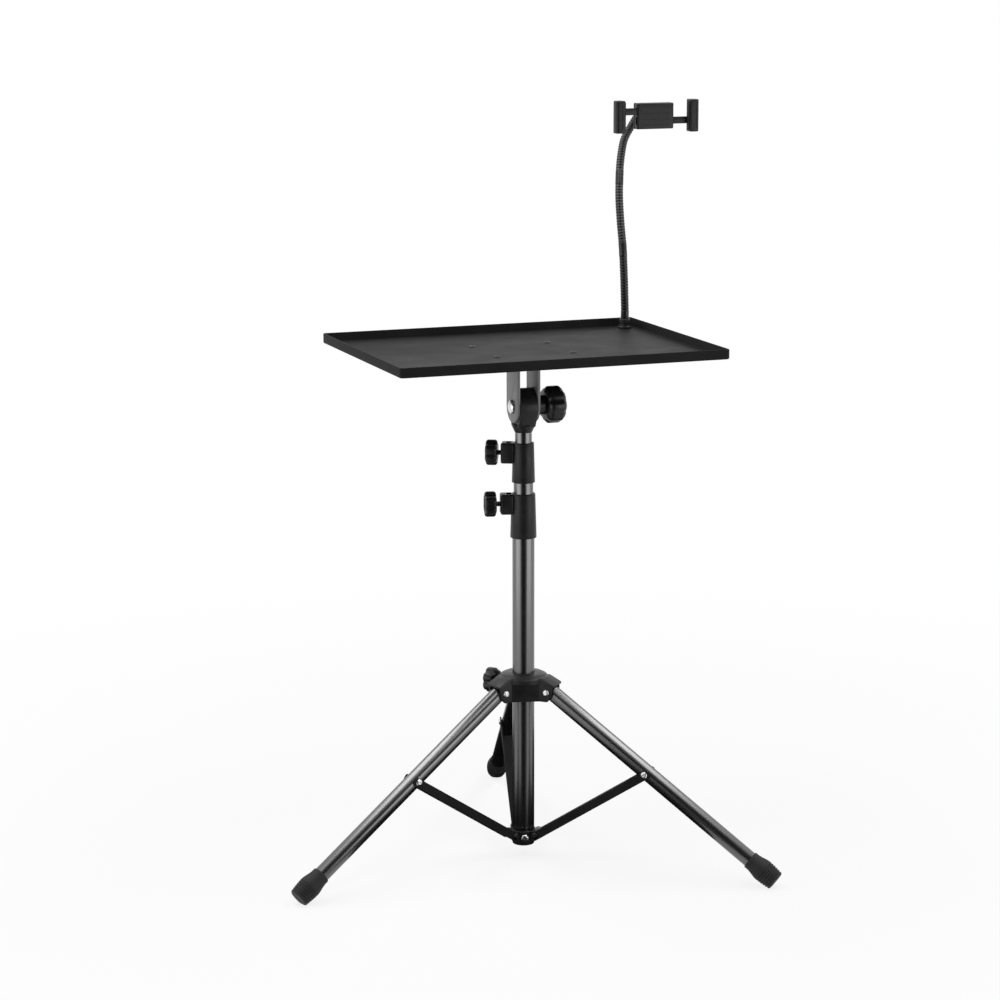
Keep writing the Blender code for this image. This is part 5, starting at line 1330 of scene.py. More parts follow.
@dataclass
class Yoke:
    """The yoke under the tray with its bolt, washer, rivet and tilt knob."""

    gap: float = 0.021
    wall: float = 0.003
    width: float = 0.036
    bolt_head: float = 0.0155
    bolt_head_height: float = 0.004
    bolt_edge: float = 0.0006
    washer_diameter: float = 0.018
    washer_thickness: float = 0.0015
    washer_edge: float = 0.0003
    edge: float = 0.00035
    boss_diameter: float = 0.022
    boss_length: float = 0.0085
    boss_edge: float = 0.0008
    bolt_into_knob: float = 0.012
    rivet_radius: float = 0.003
    rivet_head: float = 0.006
    rivet_height: float = 0.0018
    channel_sheet: float = 0.002
    bend: float = 0.0022

    def yoke(self) -> None:
        """Build the bent yoke, round at its ears."""
        half_gap = self.gap / 2.0
        outer = half_gap + self.wall
        half = self.width / 2.0
        rise = YOKE_TOP - TILT_HEIGHT
        outline = arc((0.0, 0.0), half, 180.0, 360.0, 48) + [(half, rise), (-half, rise)]
        place = facing_sideways((0.0, 0.0, TILT_HEIGHT))
        yoke = Solid.prism(outline, 2.0 * outer)
        bends = [edge for edge in yoke.builder.edges
                 if all(abs(vert.co.y - rise) < 1e-6 for vert in edge.verts)
                 and abs(edge.verts[0].co.x - edge.verts[1].co.x) > half]
        yoke.bevelled(bends, self.bend, 5).placed(place)
        space = Solid.block((-half_gap, -self.width, TILT_HEIGHT - self.width),
                            (half_gap, self.width, YOKE_TOP - self.wall))
        bolt = Solid.rod(TILT_BOLT / 2.0 + GAP, -self.width, self.width)
        bolt.placed(radial_axis(0.0, TILT_HEIGHT))
        rivet = Solid.rod(self.rivet_radius + GAP, YOKE_TOP - 3.0 * self.wall, YOKE_TOP + 3.0 * self.wall)
        yoke.cut(space, bolt, rivet).rounded(self.edge, 2, 60.0)
        yoke.piece("yoke_bracket", GREY_PAINT, "tray", ["yoke"], 34.0)

    def bolt(self) -> None:
        """Build the carriage bolt with its domed head, and the washer."""
        axis = radial_axis(0.0, TILT_HEIGHT)
        outer = self.gap / 2.0 + self.wall
        shaft = TILT_BOLT / 2.0
        head = self.bolt_head / 2.0
        seat = -outer - GAP
        end = outer + self.washer_thickness + 2.0 * GAP + self.boss_length + self.bolt_into_knob
        edge = self.bolt_edge
        rise = self.bolt_head_height - edge
        dome = [(head * math.cos(math.radians(angle)), seat - edge - rise * math.sin(math.radians(angle)))
                for angle in range(0, 90, 9)]
        profile = [(0.0, end), (shaft - edge, end), (shaft, end - edge), (shaft, seat), (head, seat)] + dome
        profile.append((0.0, seat - self.bolt_head_height))
        bolt = Solid.turned(profile).placed(axis)
        bolt.piece("tilt_carriage_bolt", NICKEL, "tray", ["tilt_bolt"], 40.0)
        washer = Solid.ring(self.washer_diameter / 2.0, shaft + GAP, outer + GAP,
                            outer + GAP + self.washer_thickness, self.washer_edge).placed(axis)
        washer.piece("tilt_flat_washer", NICKEL, "tray", ["tilt_washer"])
        top = YOKE_TOP + GAP + self.channel_sheet + GAP
        bottom = YOKE_TOP - self.wall - GAP
        edge = self.rivet_head
        dome = ((0.0, 1.0), (0.7, 0.95), (0.93, 0.6), (1.0, 0.0))
        profile = [(edge * out, top + self.rivet_height * up) for out, up in dome]
        profile += [(self.rivet_radius, top), (self.rivet_radius, bottom)]
        profile += [(edge * out, bottom - self.rivet_height * up) for out, up in reversed(dome)]
        Solid.turned(profile, SMALL_STEPS).piece("yoke_centre_rivet", NICKEL, "tray", ["yoke_rivet"])

    def knob(self) -> None:
        """Build the large lobed tilt knob with its boss."""
        axis = radial_axis(0.0, TILT_HEIGHT)
        start = self.gap / 2.0 + self.wall + self.washer_thickness + 2.0 * GAP
        middle = start + self.boss_length + TILT_GRIP.thickness / 2.0
        knob = TILT_GRIP.solid(axis, middle)
        boss_radius = self.boss_diameter / 2.0
        boss = Solid.turned([(0.0, middle), (boss_radius, middle), (boss_radius, start + self.boss_edge),
                             (boss_radius - self.boss_edge, start), (0.0, start)]).placed(axis)
        hole = Solid.rod(TILT_BOLT / 2.0 + GAP, start - PAST,
                         start + self.boss_length + self.bolt_into_knob + GAP).placed(axis)
        knob.joined(boss).cut(hole)
        knob.piece("tilt_knob_grip", GRIP_PLASTIC, "tilt_knob", ["tilt_knob"], 34.0)

    def build(self) -> None:
        """Build the yoke and what turns with it."""
        self.yoke()
        self.bolt()
        self.knob()


@dataclass
class Tray:
    """The sheet-metal tray, the channel under it and their screws."""

    width: float = 0.380
    depth: float = 0.280
    centre_y: float = 0.003
    height: float = 0.0112
    sheet: float = 0.0015
    corner: float = 0.0035
    bottom: float = 0.5843
    bend: float = 0.0016
    lip: float = 0.0005
    fillet: Profile = ((0.0, 0.0008), (0.00025, 0.00025), (0.0008, 0.0))
    channel_width: float = 0.118
    channel_depth: float = 0.095
    channel_height: float = 0.0142
    channel_sheet: float = Yoke.channel_sheet
    channel_lip: float = 0.014
    channel_bend: float = 0.0028
    screw_spacing: float = 0.090
    screw_radius: float = 0.002
    screw_length: float = 0.006
    screw_turn: float = 25.0
    screw_slots: tuple[float, float, float, float] = (0.004, 0.0006, 0.0009, 0.002)
    screw_dome: Profile = ((0.0, 0.0016), (0.0018, 0.0016), (0.0032, 0.0012), (0.0039, 0.0005),
                           (0.004, 0.0001))
    stud_radius: float = 0.003

    def screw_spots(self) -> list[Pair]:
        """Find the four tray screws.

        Returns:
            Their places as X and Y.
        """
        along = self.channel_depth / 2.0 - self.channel_lip / 2.0
        return [(side_x * self.screw_spacing / 2.0, self.centre_y + side_y * along)
                for side_x in (-1.0, 1.0) for side_y in (-1.0, 1.0)]

    def pan(self) -> None:
        """Build the tray: a pan with a bent foot to its walls and a rounded lip."""
        outer_x = self.width / 2.0
        outer_y = self.depth / 2.0
        sections = [(self.bend, 0.0)]
        for angle in (22.5, 45.0, 67.5, 90.0):
            turn = math.radians(angle)
            sections.append((self.bend * (1.0 - math.sin(turn)), self.bend * (1.0 - math.cos(turn))))
        lip = self.lip
        sections += [(0.0, self.height - lip), (0.3 * lip, self.height - 0.3 * lip), (lip, self.height),
                     (self.sheet - lip, self.height), (self.sheet - 0.3 * lip, self.height - 0.3 * lip),
                     (self.sheet, self.height - lip)]
        sections += [(self.sheet + inset, self.sheet + up) for inset, up in self.fillet]
        builder = bmesh.new()
        outline = rounded_rectangle(self.width, self.depth, self.corner, 14)
        moved, edges = closed_loop(builder, [(x, y, 0.0) for x, y in outline])
        first = list(edges)
        before = 0.0
        for number, (inset, height) in enumerate(sections):
            if number:
                moved, edges = grown_loop(builder, edges)
            bmesh.ops.scale(builder, verts=moved, vec=((outer_x - inset) / (outer_x - before),
                                                       (outer_y - inset) / (outer_y - before), 1.0))
            for vert in moved:
                vert.co.z = height
            before = inset
        bmesh.ops.contextual_create(builder, geom=first)
        bmesh.ops.contextual_create(builder, geom=edges)
        bmesh.ops.recalc_face_normals(builder, faces=builder.faces)
        pan = Solid(builder).placed(at((0.0, self.centre_y, self.bottom)))
        low = self.bottom - PAST
        high = self.bottom + self.sheet + PAST
        holes = [Solid.rod(self.screw_radius + GAP, low, high, BORE_STEPS).placed(at((x, y, 0.0)))
                 for x, y in self.screw_spots()]
        holes.append(Solid.rod(self.stud_radius + GAP, low, high, 32).placed(at((*STUD_PLACE, 0.0))))
        pan.cut(*holes).piece("tray_pan", SATIN_PAINT, "tray", ["tray"], 30.0)

    def channel(self) -> None:
        """Build the channel with bent lips that carries the tray."""
        half = self.channel_depth / 2.0
        sheet = self.channel_sheet
        lip = half - self.channel_lip
        height = self.channel_height
        outer = self.channel_bend
        inner = outer - sheet
        left, right, low, high = outer - half, half - outer, outer, height - outer
        outline = arc((left, low), outer, 180.0, 270.0, 6) + arc((right, low), outer, 270.0, 360.0, 6)
        outline += arc((right, high), outer, 0.0, 90.0, 6) + [(lip, height), (lip, height - sheet)]
        outline += arc((right, high), inner, 90.0, 0.0, 6) + arc((right, low), inner, 0.0, -90.0, 6)
        outline += arc((left, low), inner, 270.0, 180.0, 6) + arc((left, high), inner, 180.0, 90.0, 6)
        outline += [(-lip, height - sheet), (-lip, height)] + arc((left, high), outer, 90.0, 180.0, 6)
        bottom = YOKE_TOP + GAP
        channel = Solid.prism(outline, self.channel_width)
        channel.placed(facing_sideways((0.0, self.centre_y, bottom)))
        holes = [Solid.rod(self.screw_radius + GAP, bottom, bottom + 2.0 * height, BORE_STEPS)
                 .placed(at((x, y, 0.0))) for x, y in self.screw_spots()]
        holes.append(Solid.rod(SCREW_BORE, bottom - PAST, bottom + 2.0 * sheet, BORE_STEPS))
        channel.cut(*holes).piece("mount_channel_bracket", SATIN_PAINT, "tray", ["mount_channel"], 30.0)

    def screws(self) -> None:
        """Build the four flat cross-slot tray screws."""
        seat = self.bottom + self.sheet
        for number, (x, y) in enumerate(self.screw_spots(), 1):
            shaft = ((self.screw_radius, self.screw_dome[-1][1]), (self.screw_radius, -self.screw_length),
                     (0.0, -self.screw_length))
            screw = Solid.turned(self.screw_dome + shaft, SMALL_STEPS)
            screw.cut(*crossed_slots(*self.screw_slots))
            screw.placed(at((x, y, seat)), turned_by(self.screw_turn * number, "Z"))
            screw.piece("tray_screw_%d" % number, DARK_STEEL, "tray")

    def build(self) -> None:
        """Build the tray."""
        self.pan()
        self.channel()
        self.screws()


def smooth_route(points: Sequence[Vector], spacing: float) -> list[Vector]:
    """Return points at an even spacing along a smooth curve.

    Args:
        points: The points that the curve passes through.
        spacing: The distance between the returned points.

    Returns:
        The evenly spaced points, with both ends of the route.
    """
    fine = []
    ends = [points[0] * 2.0 - points[1]] + list(points) + [points[-1] * 2.0 - points[-2]]
    for before, start, end, after in zip(ends, ends[1:], ends[2:], ends[3:]):
        for step in range(20):
            share = step / 20.0
            fine.append(0.5 * (2.0 * start + (end - before) * share
                               + (2.0 * before - 5.0 * start + 4.0 * end - after) * share ** 2
                               + (3.0 * start - before - 3.0 * end + after) * share ** 3))
    fine.append(points[-1])
    length = sum((second - first).length for first, second in zip(fine, fine[1:]))
    count = round(length / spacing)
    step_length = length / count
    result = [fine[0]]
    travelled = 0.0
    for first, second in zip(fine, fine[1:]):
        run = (second - first).length
        while len(result) < count and travelled + run >= step_length * len(result):
            result.append(first.lerp(second, (step_length * len(result) - travelled) / run))
        travelled += run
    result.append(fine[-1])
    return result


@dataclass
class Neck:
    """The bendable neck: its ferrule and nut at the tray, and three ribbed lengths."""

    floor_top: float = Tray.bottom + Tray.sheet
    diameter: float = 0.0095
    pitch: float = 0.0034
    rib_depth: float = 0.00045
    per_rib: int = 8
    sides: int = 32
    end: Triple = (0.2110, 0.1583, 0.832)
    first_bend: float = 0.30
    second_bend: float = 0.62
    joint_diameter: float = 0.0094
    ferrule_height: float = 0.0112
    ferrule_rim: Profile = ((0.0, 0.0), (0.0050, 0.0), (0.0057, 0.0002), (0.0061, 0.0008),
                            (0.0063, 0.0016))
    ferrule_body: Profile = ((0.0063, 0.0052), (0.0059, 0.0048), (0.0059, 0.0042), (0.0063, 0.0038),
                             (0.0063, 0.0024), (0.0069, 0.0024), (0.0075, 0.0018), (0.0075, 0.0),
                             (0.003, 0.0), (0.003, -0.0097), (0.0, -0.0097))
    nut_height: float = 0.005
    nut_radius: float = 0.0065
    route: tuple[Triple, ...] = (
        (0.1732, 0.1210, 0.6100), (0.1728, 0.1230, 0.6450), (0.1723, 0.1265, 0.6807),
        (0.1724, 0.1335, 0.7085), (0.1740, 0.1420, 0.7355), (0.1776, 0.1505, 0.7565),
        (0.1820, 0.1590, 0.7750), (0.1878, 0.1676, 0.7906), (0.1938, 0.1745, 0.8027),
        (0.2030, 0.1790, 0.8150), (0.2088, 0.1760, 0.8260))

    def sleeve(self, centres: Sequence[Vector], phase: int) -> Solid:
        """Sweep a ribbed sleeve; its ends stay smooth for one diameter.

        Args:
            centres: The points of its centre line.
            phase: The number of points before it, which the ribs go on from.

        Returns:
            The closed sleeve.
        """
        radius = self.diameter / 2.0
        builder = bmesh.new()
        first = (centres[1] - centres[0]).normalized()
        turn = Vector((0.0, 0.0, 1.0)).rotation_difference(first).to_matrix().to_4x4()
        bmesh.ops.create_circle(builder, cap_ends=True, segments=self.sides, radius=radius,
                                matrix=at(centres[0]) @ turn)
        edges = list(builder.edges)
        heading = first
        scale = 1.0
        for index in range(1, len(centres)):
            after = centres[min(index + 1, len(centres) - 1)]
            before = centres[index - 1]
            new_heading = (after - before).normalized()
            near_end = min((centres[index] - centres[0]).length, (centres[index] - centres[-1]).length)
            wave = 0.5 + 0.5 * math.cos(2.0 * math.pi * (index + phase) / self.per_rib)
            depth = self.rib_depth * wave ** 1.6 if near_end > self.diameter * 0.9 else 0.0
            new_scale = 1.0 - depth / radius
            step = (at(centres[index]) @ heading.rotation_difference(new_heading).to_matrix().to_4x4()
                    @ Matrix.Scale(new_scale / scale, 4) @ at(-before))
            moved, edges = grown_loop(builder, edges)
            bmesh.ops.transform(builder, matrix=step, verts=moved)
            heading = new_heading
            scale = new_scale
        bmesh.ops.contextual_create(builder, geom=edges)
        bmesh.ops.recalc_face_normals(builder, faces=builder.faces)
        return Solid(builder)

    def ferrule(self) -> None:
        """Build the turned ferrule and the nut under the tray."""
        seat = self.floor_top + GAP
        top = seat + self.ferrule_height
        profile = [(out, top - down) for out, down in self.ferrule_rim]
        profile += [(out, seat + up) for out, up in self.ferrule_body]
        ferrule = Solid.turned(profile).placed(at((*STUD_PLACE, 0.0)))
        ferrule.piece("neck_base_ferrule", PLASTIC, "tray", ["base_ferrule"], 40.0)
        nut_top = self.floor_top - Tray.sheet - GAP
        nut = Solid.prism(arc((0.0, 0.0), self.nut_radius, 0.0, 300.0, 5), self.nut_height).rounded(EDGE, 2)
        nut.placed(at((*STUD_PLACE, nut_top - self.nut_height / 2.0)))
        bore = Solid.rod(SCREW_BORE, nut_top - 2.0 * self.nut_height, nut_top + PAST, BORE_STEPS)
        bore.placed(at((*STUD_PLACE, 0.0)))
        nut.cut(bore).piece("neck_hexagon_nut", ZINC, "tray", ["neck_nut"])

    def build(self) -> None:
        """Build the ferrule and the three lengths."""
        self.ferrule()
        start = Vector((*STUD_PLACE, self.floor_top + 2.0 * GAP + self.ferrule_height))
        end = Vector(self.end)
        route = [start] + [Vector(point) for point in self.route]
        route += [end + Vector((0.0, self.diameter, 0.0)), end]
        coarse = smooth_route(route, self.pitch / 2.0)
        fine = smooth_route(route, self.pitch / self.per_rib)
        bends = [coarse[round(share * len(coarse))] for share in (self.first_bend, self.second_bend)]
        marks = [min(range(len(fine)), key=lambda index: (fine[index] - bend).length) for bend in bends]
        for mark, bend in zip(marks, bends):
            fine[mark] = bend
        first, second = marks
        parts = (("neck_lower", "tray", fine[:first + 1], 0),
                 ("neck_middle", "neck_middle", fine[first:second + 1], first),
                 ("neck_upper", "neck_upper", fine[second:], second))
        for number, (name, body, centres, phase) in enumerate(parts):
            length = self.sleeve(centres, phase)
            if number < 2:
                length.joined(Solid.ball(self.joint_diameter / 2.0, bends[number]))
            if number > 0:
                length.cut(Solid.ball(self.joint_diameter / 2.0 + GAP, bends[number - 1], 40))
            length.piece(name + "_ribbed_sleeve", NECK_PLASTIC, body, [name], 60.0)


@dataclass
class PhoneHolder:
    """The ball joint behind the phone holder, its body, cover, jaws and pads."""

    centre: Triple = (0.2110, 0.1472, 0.832)
    front: float = 0.1225
    width: float = 0.046
    height: float = 0.030
    depth: float = 0.009
    cover: float = 0.0027
    edge: float = 0.0015
    jaw_gap: float = 0.0795
    jaw_width: float = 0.0125
    jaw_depth: float = 0.013
    jaw_height: float = 0.0375
    jaw_front: float = 0.1145
    pad: float = 0.001
    pad_margin: float = 0.002
    recess: float = 0.0006
    recess_margin: float = 0.0034
    arm_thickness: float = 0.0035
    arm_height: float = 0.008
    arm_offset: float = 0.0055
    arm_past_centre: float = 0.007
    seat_radius: float = 0.0079
    seat_past_centre: float = 0.0015
    socket_wall: float = 0.0013
    socket_end: Profile = ((0.0, 0.0), (0.0061, 0.0), (0.0065, 0.0004))
    socket_edge: Pair = (0.0003, 0.0004)
    nut_flutes: int = 12
    flute_depth: float = 0.0006
    nut_front: Profile = ((0.80, 0.0), (0.94, 0.0), (0.985, 0.0005), (1.0, 0.0014))
    nut_back: Profile = ((1.0, 0.0012), (0.985, 0.0004), (0.95, 0.0), (0.86, 0.0))
    stem_foot: Profile = ((0.003, 0.0015), (0.0052, 0.0015), (0.0055, 0.0012), (0.0055, 0.0),
                          (0.003, 0.0))
    nut_wall: float = 0.0024
    nut_lip: float = 0.0012
    nut_length: float = 0.0095
    ball_radius: float = 0.006
    stem_radius: float = 0.003
    stem_end: float = -0.0125
    guide_grooves: tuple[float, ...] = (-0.0105, -0.0035, 0.0035, 0.0105)
    guide_margin: float = 0.006
    groove: float = 0.0004
    screw_recess: Pair = (0.0016, 0.0012)
    screw_margin: float = 0.005
    jaw_round: float = 0.0038
    jaw_edge: float = 0.0012
    arm_root: float = 0.0022
    pad_edge: float = 0.0003
    pad_groove: float = 0.0006
    pad_pitch: float = 0.0022

    def axis(self) -> Matrix:
        """Return the ball joint's place, whose Z runs backwards."""
        return at(self.centre) @ turned_by(-90.0, "X")

    def joint(self) -> None:
        """Build the socket, the fluted ring nut and the ball with its stem."""
        bore = self.seat_radius + GAP
        radius = bore + self.socket_wall
        bore_end = self.nut_length - self.seat_past_centre + GAP
        end = -self.stem_end - self.seat_past_centre
        start = -self.seat_past_centre
        profile = [(out, end - down) for out, down in self.socket_end]
        profile += [(radius - self.socket_edge[0], bore_end + self.socket_edge[1]), (radius, bore_end),
                    (radius, start), (bore, start), (bore, bore_end), (0.0, bore_end)]
        socket = Solid.turned(profile).placed(self.axis())
        socket.piece("ball_socket_cup", PLASTIC, "neck_upper", ["ball_socket"], 40.0)
        inner = radius + GAP
        lip = start - GAP - self.nut_lip
        half = self.nut_length / 2.0
        outline = lobed_outline(inner + self.nut_wall, self.nut_flutes, self.flute_depth, 12)
        sections = [(share, up - half) for share, up in self.nut_front]
        sections += [(share, half - down) for share, down in self.nut_back]
        nut = Solid.stacked(outline, sections).placed(at((0.0, 0.0, lip + half)))
        nut.cut(Solid.rod(inner, start - GAP, lip + self.nut_length + PAST, FINE_STEPS),
                Solid.rod(self.seat_radius, lip - PAST, start, FINE_STEPS))
        nut.placed(self.axis()).piece("holder_ring_nut", GRIP_PLASTIC, "ring_nut", ["ring_nut"], 34.0)
        ball, stem = self.ball_radius, self.stem_radius
        back = self.stem_end + GAP
        profile = [(0.0, ball)] + arc((0.0, 0.0), ball, 84.0, -54.0, 23)
        profile.append((stem, -math.sqrt(ball ** 2 - stem ** 2)))
        profile += [(out, back + up) for out, up in self.stem_foot]
        profile += [(stem, back - self.cover), (0.0, back - self.cover)]
        ball_piece = Solid.turned(profile, SMALL_STEPS).placed(self.axis())
        ball_piece.piece("holder_ball_stem", NICKEL, "holder", ["holder_ball"], 40.0)

    def housing(self) -> None:
        """Build the body with the jaws' guides, and its back cover with four screw recesses."""
        x, _, z = self.centre
        half_x = self.width / 2.0
        half_z = self.height / 2.0
        back = self.front + self.depth
        body = Solid.block((x - half_x, self.front, z - half_z), (x + half_x, back, z + half_z))
        body.rounded(self.edge, 4)
        arm_back = self.jaw_front + self.jaw_depth
        arm_front = arm_back - self.arm_thickness
        half_arm = self.arm_height / 2.0
        slots = []
        for offset in (self.arm_offset, -self.arm_offset):
            slots.append(Solid.block((x - self.width, arm_front - GAP, z + offset - half_arm - GAP),
                                     (x + self.width, arm_back, z + offset + half_arm + GAP)))
        reach = half_x - self.guide_margin
        for height in self.guide_grooves:
            slots.append(Solid.block((x - reach, self.front - PAST, z + height - self.groove),
                                     (x + reach, self.front + self.groove, z + height + self.groove)))
        body.cut(*slots).piece("holder_housing", PLASTIC, "holder", ["holder_body"], 34.0)
        start = back + GAP
        cover = Solid.block((x - half_x, start, z - half_z), (x + half_x, start + self.cover, z + half_z))
        cover.rounded(self.edge * 0.6, 3)
        holes = [Solid.rod(SCREW_BORE, 2.0 * self.stem_end, 0.0, BORE_STEPS).placed(self.axis())]
        radius, depth = self.screw_recess
        for side_x in (-1.0, 1.0):
            for side_z in (-1.0, 1.0):
                spot = at((x + side_x * (half_x - self.screw_margin), start + self.cover,
                           z + side_z * (half_z - self.screw_margin)))
                holes.append(Solid.rod(radius, -depth, PAST, BORE_STEPS).placed(spot, turned_by(-90.0, "X")))
        cover.cut(*holes).piece("holder_back_plate", PLASTIC, "holder", ["holder_cover"], 34.0)

    def jaw(self, name: str, side: float) -> None:
        """Build one jaw with its arm.

        Args:
            name: Its name, which its body and CAD node share.
            side: -1 for the left one, 1 for the right one.
        """
        x, _, z = self.centre
        face = self.jaw_gap / 2.0
        inner = face + self.pad + GAP
        outer = face + self.jaw_width
        back = self.jaw_front + self.jaw_depth
        half = self.jaw_height / 2.0
        low, high = sorted((side * inner, side * outer))
        jaw = Solid.block((x + low, self.jaw_front, z - half), (x + high, back, z + half))
        upright = [edge for edge in jaw.builder.edges
                   if abs(edge.verts[0].co.z - edge.verts[1].co.z) > half
                   and all((vert.co.x - x) * side > (inner + outer) / 2.0 for vert in edge.verts)]
        jaw.bevelled(upright, self.jaw_round, 8).rounded(self.jaw_edge, 3, 50.0)
        arm_front = back - self.arm_thickness
        half_arm = self.arm_height / 2.0
        offset = -side * self.arm_offset
        low, high = sorted((side * (inner + self.arm_root), -side * self.arm_past_centre))
        arm = Solid.block((x + low, arm_front, z + offset - half_arm),
                          (x + high, back - GAP, z + offset + half_arm))
        low, high = sorted((side * (inner + self.recess_margin), side * (outer - self.recess_margin)))
        jaw.cut(Solid.block((x + low, self.jaw_front - self.recess, z - half + 1.4 * self.recess_margin),
                            (x + high, self.jaw_front + self.recess, z + half - 1.4 * self.recess_margin)))
        jaw.joined(arm.rounded(EDGE, 2))
        jaw.piece(name + "_clamping_jaw", PLASTIC, name, [name], 36.0)

    def pad_piece(self, name: str, side: float) -> None:
        """Build one grooved rubber pad on its jaw.

        Args:
            name: The jaw's name.
            side: -1 for the left one, 1 for the right one.
        """
        x, _, z = self.centre
        face = self.jaw_gap / 2.0
        back = self.jaw_front + self.jaw_depth
        half = self.jaw_height / 2.0
        pad_name = name.replace("jaw", "pad")
        low, high = sorted((side * face, side * (face + self.pad)))
        start = self.jaw_front + self.pad_margin
        end = back - self.arm_thickness - self.pad_margin / 2.0
        pad = Solid.block((x + low, start, z + self.pad_margin - half),
                          (x + high, end, z + half - self.pad_margin)).rounded(self.pad_edge, 2)
        grooves = []
        height = self.pad_margin * 2.0 - half
        while height < half - self.pad_margin * 2.0:
            low, high = sorted((side * (face - PAST), side * (face + self.groove)))
            grooves.append(Solid.block((x + low, start - PAST, z + height - self.pad_groove / 2.0),
                                       (x + high, back, z + height + self.pad_groove / 2.0)))
            height += self.pad_pitch
        pad.cut(*grooves).piece(pad_name + "_grooved", RUBBER, name, [pad_name], 34.0)

    def build(self) -> None:
        """Build the holder."""
        self.joint()
        self.housing()
        for name, side in (("left_jaw", -1.0), ("right_jaw", 1.0)):
            self.jaw(name, side)
            self.pad_piece(name, side)


# Studio

